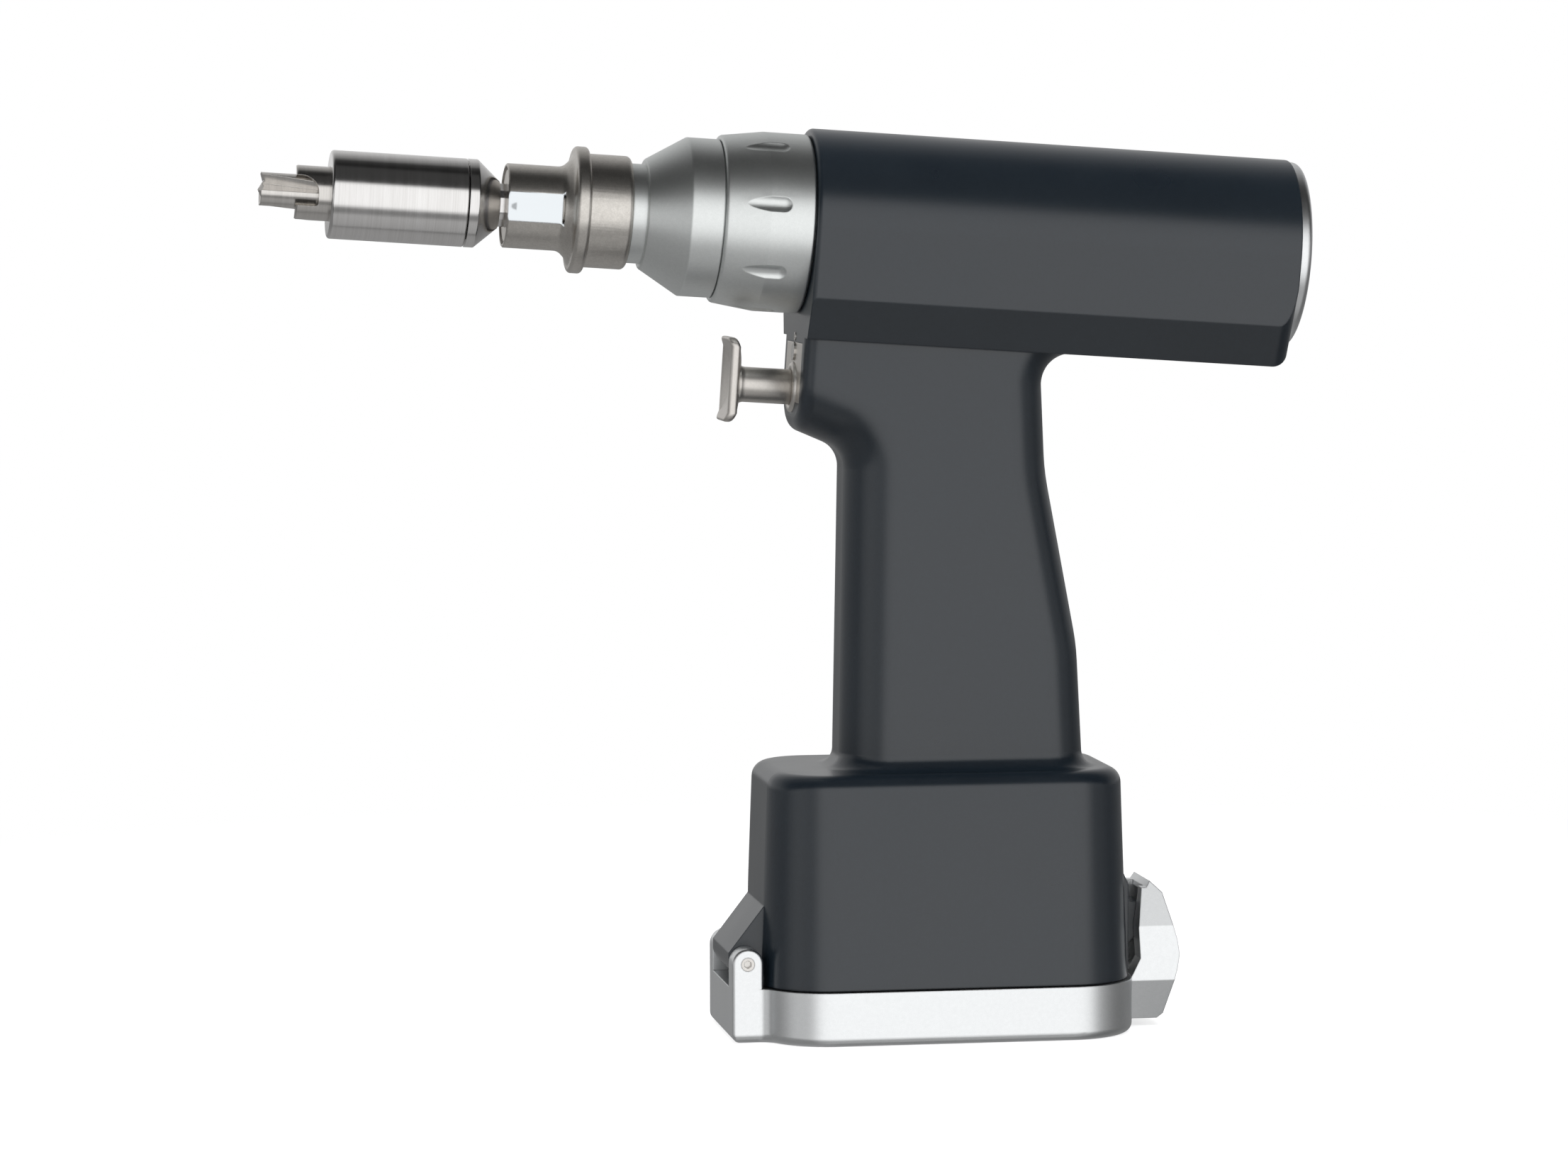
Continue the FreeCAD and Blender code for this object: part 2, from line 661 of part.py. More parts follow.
def rear_cap():
    """Silver cap that closes the barrel: a dished rim with a spigot inside the bore."""
    face = f"({BARREL_REAR} + rear_cap_height)"
    spigot = "(barrel_bore - seat_play)"
    body = turned("rear_cap", [
        (f"{BARREL_REAR} - 9", f"{spigot} - 3"), (f"{BARREL_REAR} - 9", spigot), (BARREL_REAR, spigot),
        (BARREL_REAR, "rear_cap_radius"), (face, "rear_cap_radius"), (face, "0"),
        (f"{BARREL_REAR} - 1", "0"), (f"{BARREL_REAR} - 1", f"{spigot} - 3")])
    fillet_rings(body, "rim", "1.6", (face, "rear_cap_radius"))
    groove(body, "seal_seat", [
        (SEAL_FRONT, "barrel_bore - seal_depth"), (SEAL_FRONT, "barrel_bore + 1"),
        (f"{SEAL_FRONT} + 1.6", "barrel_bore + 1"), (f"{SEAL_FRONT} + 1.6", "barrel_bore - seal_depth")])


def nose_cone():
    """Fixed silver nose: neck, cone and band in front of the lock ring, spigoted into the tube."""
    seat, shoulder = f"({CONE_REAR} + 2)", f"({CONE_REAR} - bearing_width)"
    lip = f"({shoulder} - 1.5)"
    body = turned("nose_cone", [
        (NECK_FRONT, "spindle_radius + 1"), (NECK_FRONT, "neck_radius"), (CONE_FRONT, "neck_radius"),
        (CONE_FRONT, "cone_radius"), (CONE_REAR, "nose_radius"), (NOSE_REAR, "nose_radius"),
        (NOSE_REAR, "tube_bore"), (f"{NOSE_REAR} + 8", "tube_bore"), (f"{NOSE_REAR} + 8", "tube_bore - 2"),
        (seat, "tube_bore - 2"), (seat, "bearing_radius"),
        (shoulder, "bearing_radius"), (shoulder, "bearing_radius - 2"),
        (lip, "bearing_radius - 2"), (lip, "spindle_radius + 1")])
    fillet_rings(body, "corners", "0.8", (CONE_FRONT, "cone_radius"), (CONE_REAR, "nose_radius"))


def coupling_tube():
    """Tube under the lock ring that ties the nose to the barrel and holds the rear spindle bearing."""
    seat = f"({CARRIER_FRONT} - 1)"
    turned("coupling_tube", [
        (NOSE_REAR, "tube_bore + seat_play"), (NOSE_REAR, "tube_radius"), ("barrel_front", "tube_radius"),
        ("barrel_front", "barrel_bore - seat_play"), (CARRIER_REAR, "barrel_bore - seat_play"),
        (CARRIER_REAR, "tube_bore"), (seat, "tube_bore"), (seat, "bearing_radius"),
        (f"{seat} - bearing_width", "bearing_radius"), (f"{seat} - bearing_width", "bearing_radius - 1.5"),
        (f"{seat} - bearing_width - 2", "bearing_radius - 1.5"),
        (f"{NOSE_REAR} + 9", "bearing_radius - 1.5"), (f"{NOSE_REAR} + 9", "tube_bore + seat_play")])


def lock_ring():
    """Bayonet ring with ball-ended finger scoops round its swell."""
    body = turned("lock_ring", [
        (RING_FRONT, "tube_radius + shaft_play"), (RING_FRONT, "ring_lip"),
        (f"{RING_FRONT} + ring_swell", "ring_radius"), (RING_REAR, "ring_radius"),
        (RING_REAR, "tube_radius + shaft_play")])
    fillet_rings(body, "lip", "0.9", (RING_FRONT, "ring_lip"))
    fillet_rings(body, "heel", "0.7", (RING_REAR, "ring_radius"))
    turn = FreeCAD.Rotation(FreeCAD.Vector(1, 0, 0), value("dimple_turn"))
    sketch = new_sketch(body, "dimple", "XZ_Plane", FreeCAD.Placement(FreeCAD.Vector(), turn))
    rear = f"{RING_FRONT} + dimple_start + dimple_length - dimple_ball"
    height = "ring_radius - dimple_depth + dimple_ball"
    axis = add_scoop(sketch, f"{RING_FRONT} - 1", rear, height, "dimple_ball")
    scoop = body.newObject("PartDesign::Groove", "lock_ring_scoop")
    scoop.Profile = (sketch, [""])
    scoop.ReferenceAxis = (sketch, [f"Edge{axis + 1}"])
    scoop.Angle = 360
    DOC.recompute()
    around(body, scoop, round(value("dimple_count")))


def add_scoop(sketch, front, rear, height, radius):
    """Half outline of a ball-ended groove over a level axis; its last line is that axis."""
    centre = FreeCAD.Vector(value(rear), value(height), 0)
    nose = FreeCAD.Vector(value(front), value(height), 0)
    circle = Part.Circle(centre, FreeCAD.Vector(0, 0, 1), value(radius))
    arc = sketch.addGeometry(Part.ArcOfCircle(circle, 0, math.pi / 2), False)
    tail, crest = sketch.getPoint(arc, 1), sketch.getPoint(arc, 2)
    corner = FreeCAD.Vector(nose.x, crest.y, 0)
    roof = sketch.addGeometry(Part.LineSegment(crest, corner), False)
    face = sketch.addGeometry(Part.LineSegment(corner, nose), False)
    axis = sketch.addGeometry(Part.LineSegment(nose, tail), False)
    sketch.addConstraint(Sketcher.Constraint("Tangent", arc, 2, roof, 1))
    for first, second in ((roof, face), (face, axis), (axis, arc)):
        sketch.addConstraint(Sketcher.Constraint("Coincident", first, 2, second, 1))
    fix_point(sketch, arc, 3, rear, height)
    fix_point(sketch, axis, 1, front, height)
    size = sketch.addConstraint(Sketcher.Constraint("Radius", arc, value(radius)))
    bind(sketch, f"Constraints[{size}]", radius)
    sketch.addConstraint(Sketcher.Constraint("Horizontal", axis))
    sketch.addConstraint(Sketcher.Constraint("Horizontal", roof))
    sketch.addConstraint(Sketcher.Constraint("Vertical", face))
    return axis


def output_spindle():
    """Spindle from the chuck back to the planet carrier, bored there for the planets' pins."""
    rear = CARRIER_REAR
    body = turned("output_spindle", [
        (f"{COLLAR_FRONT} - 1", "0"), (f"{COLLAR_FRONT} - 1", "spindle_radius"),
        (CARRIER_FRONT, "spindle_radius"), (CARRIER_FRONT, "carrier_radius"),
        (rear, "carrier_radius"), (rear, "0")])
    sketch = new_sketch(body, "pin_hole", "YZ_Plane")
    bind(sketch, ".AttachmentOffset.Base.z", CARRIER_FRONT)
    add_circle(sketch, "0", CENTRE_DISTANCE, "planet_pin")
    hole = pocket(body, sketch, "carrier_width", reverse=True)
    around(body, hole, 3)


def spindle_bearings():
    """Outer and inner rings of the two spindle bearings, each pair one node."""
    fronts = [f"({CONE_REAR} - bearing_width)", f"({CARRIER_FRONT} - 1 - bearing_width)"]
    rings = (("spindle_bearing_outers", "bearing_radius", "spindle_radius + 2.2"),
             ("spindle_bearing_inners", "spindle_radius + 2", "spindle_radius"))
    for label, outer, inner in rings:
        body = new_body(label)
        body.AllowCompound = True
        for number, front in enumerate(fronts, start=1):
            rear = f"{front} + bearing_width"
            revolve(body, f"ring_{number}", [(front, inner), (front, outer), (rear, outer), (rear, inner)])
        tilt_with_barrel(body)


def chuck_body():
    """Socket for the tool shank on the spindle's front, with a rear flange for the sleeve's spring."""
    front = f"({SLEEVE_FRONT} + 0.4)"
    step = f"({COLLAR_FRONT} - 1)"
    rear = f"({NECK_FRONT} - 1)"
    body = turned("chuck_body", [
        (front, "shank_radius + shaft_play"), (front, "chuck_radius"), (f"{rear} - 2", "chuck_radius"),
        (f"{rear} - 2", "neck_radius - 0.4"), (rear, "neck_radius - 0.4"), (rear, "spindle_radius"),
        (step, "spindle_radius"), (step, "shank_radius + shaft_play")])
    sketch = new_sketch(body, "ball_hole", "XY_Plane")
    add_circle(sketch, f"{COLLAR_FRONT} - 3.4", "0", "ball_radius + shaft_play")
    hole = pocket(body, sketch, "chuck_radius + 2", reverse=True)
    around(body, hole, 3)


def chuck_balls():
    """Three locking balls in the chuck's radial holes."""
    body = new_body("chuck_balls")
    body.AllowCompound = True
    seat = "(chuck_radius - ball_radius - 0.1)"
    sketch = new_sketch(body, "ball", "XZ_Plane")
    hub = FreeCAD.Vector(value(f"{COLLAR_FRONT} - 3.4"), value(seat), 0)
    circle = Part.Circle(hub, FreeCAD.Vector(0, 0, 1), value("ball_radius"))
    arc = sketch.addGeometry(Part.ArcOfCircle(circle, -math.pi / 2, math.pi / 2), False)
    chord = sketch.addGeometry(Part.LineSegment(sketch.getPoint(arc, 2), sketch.getPoint(arc, 1)), False)
    sketch.addConstraint(Sketcher.Constraint("Coincident", arc, 2, chord, 1))
    sketch.addConstraint(Sketcher.Constraint("Coincident", arc, 1, chord, 2))
    sketch.addConstraint(Sketcher.Constraint("Vertical", chord))
    sketch.addConstraint(Sketcher.Constraint("PointOnObject", arc, 3, chord))
    fix_point(sketch, arc, 3, f"{COLLAR_FRONT} - 3.4", seat)
    size = sketch.addConstraint(Sketcher.Constraint("Radius", arc, value("ball_radius")))
    bind(sketch, f"Constraints[{size}]", "ball_radius")
    ball = body.newObject("PartDesign::Revolution", "chuck_ball_turn")
    ball.Profile = (sketch, [""])
    ball.ReferenceAxis = (sketch, [f"Edge{chord + 1}"])
    ball.Angle = 360
    DOC.recompute()
    around(body, ball, 3)
    tilt_with_barrel(body)


def chuck_sleeve():
    """Spring-loaded release sleeve: plain nose with one flat, flange and rear collar."""
    bore = "(chuck_radius + shaft_play)"
    recess = f"({FLANGE_FRONT} - 0.2)"
    shoulder = f"({COLLAR_FRONT} + 1.2)"
    clip = f"({SLEEVE_FRONT} + 2.2)"
    body = turned("chuck_sleeve", [
        (SLEEVE_FRONT, f"{bore} + 0.9"), (SLEEVE_FRONT, "sleeve_radius"),
        (f"{FLANGE_FRONT} - 2.6", "sleeve_radius"), (FLANGE_FRONT, "sleeve_radius + 2.6"),
        (FLANGE_FRONT, "flange_radius"), (COLLAR_FRONT, "flange_radius"), (COLLAR_FRONT, "collar_radius"),
        (NECK_FRONT, "collar_radius"), (NECK_FRONT, "neck_radius + 0.3"), (shoulder, "neck_radius + 0.3"),
        (shoulder, bore), (recess, bore), (recess, f"{bore} + 1.6"), (f"{recess} - 2.8", f"{bore} + 1.6"),
        (f"{recess} - 2.8", bore), (clip, bore), (clip, f"{bore} + 0.9")])
    fillet_rings(body, "flange_edges", "1", (FLANGE_FRONT, "flange_radius"), (COLLAR_FRONT, "flange_radius"))
    fillet_rings(body, "web", "3", (f"{FLANGE_FRONT} - 2.6", "sleeve_radius"),
                 (FLANGE_FRONT, "sleeve_radius + 2.6"))
    fillet_rings(body, "collar_edge", "1.4", (NECK_FRONT, "collar_radius"))
    chamfer_rings(body, "front_edge", "0.3", (SLEEVE_FRONT, "sleeve_radius"))
    sketch = new_sketch(body, "flat", "YZ_Plane")
    bind(sketch, ".AttachmentOffset.Base.z", SLEEVE_FRONT)
    add_polygon(sketch, [("-sleeve_radius - 1", "-4"), ("-sleeve_radius + 0.55", "-4"),
                         ("-sleeve_radius + 0.55", "4"), ("-sleeve_radius - 1", "4")])
    pocket(body, sketch, "9.5", reverse=True)


def chuck_clip():
    """Retaining ring in front of the sleeve's inner shoulder."""
    tube("chuck_clip", f"{SLEEVE_FRONT} + 1", f"{SLEEVE_FRONT} + 2.1", "chuck_radius + 0.8", "chuck_radius")


def square_spring(label, front, rear, mean, turns, width, place):
    """Compression spring of square wire round an axis along X, its last turns left open."""
    length, radius, half = value(rear) - value(front), value(mean), value(width) / 2
    pitch = (length - 2 * half) / turns
    helix = Part.makeHelix(pitch, length - 2 * half, radius)
    section = Part.makePolygon([
        FreeCAD.Vector(radius - half, 0, -half), FreeCAD.Vector(radius + half, 0, -half),
        FreeCAD.Vector(radius + half, 0, half), FreeCAD.Vector(radius - half, 0, half),
        FreeCAD.Vector(radius - half, 0, -half)])
    coil = Part.Wire(helix.Edges).makePipeShell([section], True, True)
    coil.rotate(FreeCAD.Vector(), FreeCAD.Vector(0, 1, 0), 90)
    coil.translate(place + FreeCAD.Vector(value(front) + half, 0, 0))
    return shaped(label, coil)


def chuck_spring():
    square_spring("chuck_spring", f"{COLLAR_FRONT} + 1.4", f"{NECK_FRONT} - 3.2", "chuck_radius + 1.9", 3,
                  "1.1", FreeCAD.Vector())


def perforator_shank():
    """Drive shank: seated in the chuck, carried on inside the perforator's body to turn its drills."""
    body = turned("perforator_shank", [
        (f"{CAP_CONE} + 0.6", "0"), (f"{CAP_CONE} + 0.6", "shank_radius"),
        (f"{COLLAR_FRONT} - 1.3", "shank_radius"), (f"{COLLAR_FRONT} - 1.3", "0")])
    groove(body, "ball_groove", [
        (f"{COLLAR_FRONT} - 4.9", "shank_radius - 0.6"), (f"{COLLAR_FRONT} - 4.9", "shank_radius + 1"),
        (f"{COLLAR_FRONT} - 1.9", "shank_radius + 1"), (f"{COLLAR_FRONT} - 1.9", "shank_radius - 0.6")])
    chamfer_rings(body, "lead", "0.3", (f"{COLLAR_FRONT} - 1.3", "shank_radius"))
    flat = new_sketch(body, "flat", "XZ_Plane")
    bind(flat, ".AttachmentOffset.Base.z", "shank_radius - 0.3")
    add_polygon(flat, [(CAP_REAR, "-3"), (f"{SLEEVE_FRONT} + 0.4", "-3"), (f"{SLEEVE_FRONT} + 0.4", "3"),
                       (CAP_REAR, "3")])
    around(body, pocket(body, flat, "2", reverse=True), 6)


def perforator_end_cap():
    """Rear cap of the perforator: a short band and a cone down to the shank."""
    rear = "shank_radius + 0.5"
    body = turned("perforator_end_cap", [
        (CAP_FRONT, "perforator_radius - 2"), (CAP_FRONT, "perforator_radius"),
        (CAP_CONE, "perforator_radius"),
        (CAP_REAR, rear), (CAP_REAR, "shank_radius"), (f"{CAP_CONE} + 0.6", "shank_radius"),
        (f"{CAP_CONE} + 0.6", "perforator_radius - 2")])
    fillet_rings(body, "shoulder", "0.6", (CAP_CONE, "perforator_radius"))


def perforator_body():
    """Barrel of the perforator, bored for the drills and open behind for the clutch."""
    body = turned("perforator_body", [
        (PERFORATOR_FRONT, "outer_drill_radius + shaft_play"), (PERFORATOR_FRONT, "perforator_radius"),
        (f"{CAP_FRONT} - part_gap", "perforator_radius"),
        (f"{CAP_FRONT} - part_gap", "perforator_radius - 1.8"),
        (f"{PERFORATOR_FRONT} + 7", "perforator_radius - 1.8"),
        (f"{PERFORATOR_FRONT} + 7", "outer_drill_radius + shaft_play")])
    fillet_rings(body, "front_edge", "0.8", (PERFORATOR_FRONT, "perforator_radius"))
    chamfer_rings(body, "rear_edge", "0.25", (f"{CAP_FRONT} - part_gap", "perforator_radius"))


def outer_drill():
    """Hollow outer cutter: three teeth between windows in its wall, shouldered inside the body."""
    bore = "(inner_drill_radius + shaft_play)"
    shoulder = f"({PERFORATOR_FRONT} + 7.1)"
    body = turned("outer_drill", [
        (OUTER_TIP, bore), (OUTER_TIP, "outer_drill_radius - 0.2"),
        (f"{OUTER_TIP} + 0.4", "outer_drill_radius"),
        (shoulder, "outer_drill_radius"), (shoulder, "perforator_radius - 2"),
        (f"{shoulder} + 5", "perforator_radius - 2"), (f"{shoulder} + 5", bore)])
    turn = FreeCAD.Rotation(FreeCAD.Vector(1, 0, 0), value("window_turn"))
    window = new_sketch(body, "window", "XY_Plane", FreeCAD.Placement(FreeCAD.Vector(), turn))
    rear = f"({OUTER_TIP} + window_length)"
    add_polygon(window, [(f"{OUTER_TIP} - 1", "-window_half"), (rear, "-window_half"), (rear, "window_half"),
                         (f"{OUTER_TIP} - 1", "window_half")])
    around(body, pocket(body, window, "outer_drill_radius + 1", reverse=True), 3)
    plane, middle = value(rear), 90 - value("window_turn")

    def corner(edge, side):
        if not isinstance(edge.Curve, Part.Line) or edge.BoundBox.XLength > 0.01:
            return False
        spot = edge.CenterOfMass
        turned_by = (math.degrees(math.atan2(spot.z, -spot.y)) - middle + 60) % 120 - 60
        return abs(spot.x - plane) < 0.01 and turned_by * side > 5

    soften(body, "window_top", "Fillet", "window_arch", lambda edge: corner(edge, 1))
    soften(body, "window_foot", "Fillet", "window_toe", lambda edge: corner(edge, -1))


def inner_drill():
    """Sprung inner cutter: brad point, three skewed flutes and a collar for its clutch."""
    collar = f"({PERFORATOR_FRONT} + 14)"
    body = turned("inner_drill", [
        (INNER_TIP, "0"), (f"{INNER_TIP} + drill_notch", "inner_drill_radius - 2"),
        (f"{INNER_TIP} + drill_notch / 2", "inner_drill_radius"), (collar, "inner_drill_radius"),
        (collar, "perforator_radius - 2.6"), (f"{collar} + 5", "perforator_radius - 2.6"),
        (f"{collar} + 5", "3.4"), (f"{collar} + 9", "3.4"), (f"{collar} + 9", "0")])
    edge, skew = math.radians(value("first_edge")), math.tan(math.radians(value("flute_skew")))
    outward = FreeCAD.Vector(-math.cos(edge), math.sin(edge), 0)
    onward = FreeCAD.Vector(math.sin(edge), math.cos(edge), 0)
    core, rim = value("drill_core"), value("inner_drill_radius") * 1.6
    corners = [outward * core, outward * rim, outward * rim - onward * rim, outward * core - onward * rim]
    flute = new_sketch(body, "flute", "YZ_Plane")
    bind(flute, ".AttachmentOffset.Base.z", INNER_TIP)
    add_polygon(flute, [(f"{corner.x:.4f}", f"{corner.y:.4f}") for corner in corners])
    cut = pocket(body, flute, "flute_length", reverse=True)
    cut.UseCustomVector = True
    cut.Direction = FreeCAD.Vector(-1, skew * onward.x, skew * onward.y)
    DOC.recompute()
    around(body, cut, 3)


def clutch_spring():
    square_spring("clutch_spring", f"{PERFORATOR_FRONT} + 19.3", f"{CAP_CONE} + 0.4",
                  "perforator_radius - 4.6", 4, "1.1", FreeCAD.Vector())


def gear_wire(teeth, module, inside=False):
    """Closed outline of an involute gear, each flank three points of its involute."""
    pitch = module * teeth / 2
    base = pitch * math.cos(math.radians(20))
    addendum, dedendum = (1.1, 1.0) if inside else (0.95, 1.2)
    low, high = pitch - dedendum * module, pitch + addendum * module
    flare = math.tan(math.radians(20)) - math.radians(20)
    thickness = math.pi / (2 * teeth) + (0.012 if inside else -0.012) * 4 / teeth
    points = []
    for tooth in range(teeth):
        middle = 2 * math.pi * tooth / teeth
        flank = []
        for radius in (max(low, base), pitch, high):
            roll = math.acos(min(1, base / radius))
            spread = thickness + flare - (math.tan(roll) - roll)
            flank.append((radius, spread))
        if low < base:
            flank.insert(0, (low, flank[0][1]))
        points += [(radius, middle - spread) for radius, spread in flank]
        points += [(radius, middle + spread) for radius, spread in reversed(flank)]
    corners = [FreeCAD.Vector(0, far * math.cos(turn), far * math.sin(turn)) for far, turn in points]
    return Part.makePolygon(corners + corners[:1])


def gear_block(wire, front, rear):
    """Solid between two planes of the barrel from an outline drawn square to its axis."""
    face = Part.Face(wire)
    face.translate(FreeCAD.Vector(value(front), 0, 0))
    return face.extrude(FreeCAD.Vector(value(rear) - value(front), 0, 0))


def rod(front, rear, radius, across=0, up=0):
    start = FreeCAD.Vector(value(front), across, up)
    return Part.makeCylinder(value(radius), value(rear) - value(front), start, FreeCAD.Vector(1, 0, 0))


def planet_spots():
    centre = value(CENTRE_DISTANCE)
    turns = [math.radians(90 + 120 * number) for number in range(3)]
    return [(centre * math.cos(turn), centre * math.sin(turn)) for turn in turns]


def gear_train():
    """Sun on the motor's shaft, three planets on the carrier's pins and the fixed ring round them."""
    module = value("gear_module")
    sun_teeth, planet_teeth = round(value("sun_teeth")), round(value("planet_teeth"))
    ring_teeth = round(value(RING_TEETH))
    sun = gear_block(gear_wire(sun_teeth, module), GEAR_FRONT, GEAR_REAR)
    sun = sun.cut(rod(GEAR_FRONT, GEAR_REAR, "motor_shaft"))
    shaped("sun_gear", sun)
    ring = rod(GEAR_FRONT, GEAR_REAR, "barrel_bore - seat_play")
    hollow = gear_block(gear_wire(ring_teeth, module, inside=True), f"{GEAR_FRONT} - 1", f"{GEAR_REAR} + 1")
    axis = FreeCAD.Vector(1, 0, 0)
    first = 90
    mesh_turn = first + (first * sun_teeth + 180 * planet_teeth + 180) / ring_teeth
    hollow.rotate(FreeCAD.Vector(), axis, mesh_turn)
    shaped("ring_gear", ring.cut(hollow))
    for number, (across, up) in enumerate(planet_spots(), start=1):
        planet = gear_block(gear_wire(planet_teeth, module), GEAR_FRONT, GEAR_REAR)
        planet = planet.cut(rod(GEAR_FRONT, GEAR_REAR, "planet_pin + shaft_play"))
        bearing = math.degrees(math.atan2(up, across))
        rolled = bearing * (1 + sun_teeth / planet_teeth) + 180 + 180 / planet_teeth
        planet.rotate(FreeCAD.Vector(), axis, rolled)
        planet.translate(FreeCAD.Vector(0, across, up))
        shaped(f"planet_gear_{number}", planet)


def planet_pins():
    """Three shouldered pins pressed into the carrier."""
    pins = []
    for across, up in planet_spots():
        pin = rod(CARRIER_FRONT, f"{GEAR_REAR} + 0.4", "planet_pin", across, up)
        shoulder = rod(CARRIER_REAR, f"{GEAR_FRONT} - 0.1", "planet_pin + 1", across, up)
        pins.append(pin.fuse(shoulder).removeSplitter())
    shaped("planet_pins", Part.makeCompound(pins))


def motor_pieces():
    """Brushless motor in the barrel: flange, stator, coil ends, rear bell, shaft and magnet."""
    seat = "(barrel_bore - seat_play)"
    bearing = "motor_bearing"
    turned("motor_flange", [
        (MOTOR_FRONT, "7.5"), (MOTOR_FRONT, seat), (f"{MOTOR_FRONT} + 8", seat),
        (f"{MOTOR_FRONT} + 8", bearing), (f"{MOTOR_FRONT} + 2", bearing), (f"{MOTOR_FRONT} + 2", "7.5")])
    tube("stator_core", STATOR_FRONT, STATOR_REAR, seat, "stator_bore + 1.2")
    coils = new_body("stator_coils")
    rise, low, high = "coil_rise", "stator_bore + 1.4", "barrel_bore - 2"
    revolve(coils, "winding", [
        (f"{STATOR_FRONT} - {rise}", low), (f"{STATOR_FRONT} - {rise}", high), (STATOR_FRONT, high),
        (STATOR_FRONT, "stator_bore + 1.2"), (STATOR_REAR, "stator_bore + 1.2"), (STATOR_REAR, high),
        (f"{STATOR_REAR} + {rise}", high), (f"{STATOR_REAR} + {rise}", low),
        (f"{STATOR_REAR} + 0.1", "stator_bore"), (f"{STATOR_FRONT} - 0.1", "stator_bore")])
    tilt_with_barrel(coils)
    turned("rear_bell", [
        (BELL_FRONT, bearing), (BELL_FRONT, seat), (BELL_REAR, seat), (BELL_REAR, "6"),
        (f"{BELL_FRONT} + bearing_width", "6"), (f"{BELL_FRONT} + bearing_width", bearing)])
    outers = new_body("motor_bearing_outers")
    outers.AllowCompound = True
    inners = new_body("motor_bearing_inners")
    inners.AllowCompound = True
    for number, front in enumerate((f"({MOTOR_FRONT} + 2)", BELL_FRONT), start=1):
        rear = f"{front} + bearing_width"
        revolve(outers, f"ring_{number}", [(front, "5.2"), (front, bearing), (rear, bearing), (rear, "5.2")])
        revolve(inners, f"ring_{number}", [
            (front, "motor_shaft"), (front, "5"), (rear, "5"), (rear, "motor_shaft")])
    tilt_with_barrel(outers)
    tilt_with_barrel(inners)
    disc("motor_shaft_rod", GEAR_FRONT, f"{BELL_REAR} + 5", "motor_shaft")
    tube("rotor_magnet", f"{STATOR_FRONT} - 1", f"{STATOR_REAR} + 1", "magnet_radius", "motor_shaft")
    tube("encoder_magnet", f"{BELL_REAR} + 1.5", f"{BELL_REAR} + 4.5", "5", "motor_shaft")
    disc("encoder_board", f"{BELL_REAR} + 6", f"{BELL_REAR} + 6 + board_thickness", seat)
    tube("rear_cap_seal", SEAL_FRONT, f"{SEAL_FRONT} + 1.6", seat, "barrel_bore - seal_depth")


def trigger_plate():
    """Cover plate let flush into the trigger block's face, bored for the bush, a plug and two screws."""
    body = new_body("trigger_plate")
    sketch = new_sketch(body, "face", "YZ_Plane")
    bind(sketch, ".AttachmentOffset.Base.z", "barrel_front")
    add_polygon(sketch, plate_outline("(0 - seat_play)"))
    pad(body, sketch, "plate_thickness")
    hole = new_sketch(body, "holes", "YZ_Plane")
    bind(hole, ".AttachmentOffset.Base.z", "barrel_front - 1")
    add_circle(hole, "0", "-trigger_drop", "trigger_rod_radius + 2")
    add_circle(hole, "0", "-trigger_drop + 9.4", "plug_radius")
    pocket(body, hole, "4", reverse=True)
    tilt_with_barrel(body)
    plug = new_body("plate_plug")
    stud = new_sketch(plug, "stud", "YZ_Plane")
    bind(stud, ".AttachmentOffset.Base.z", "barrel_front - 0.5")
    add_circle(stud, "0", "-trigger_drop + 9.4", "plug_radius")
    pad(plug, stud, "plate_thickness + 0.5")
    tilt_with_barrel(plug)


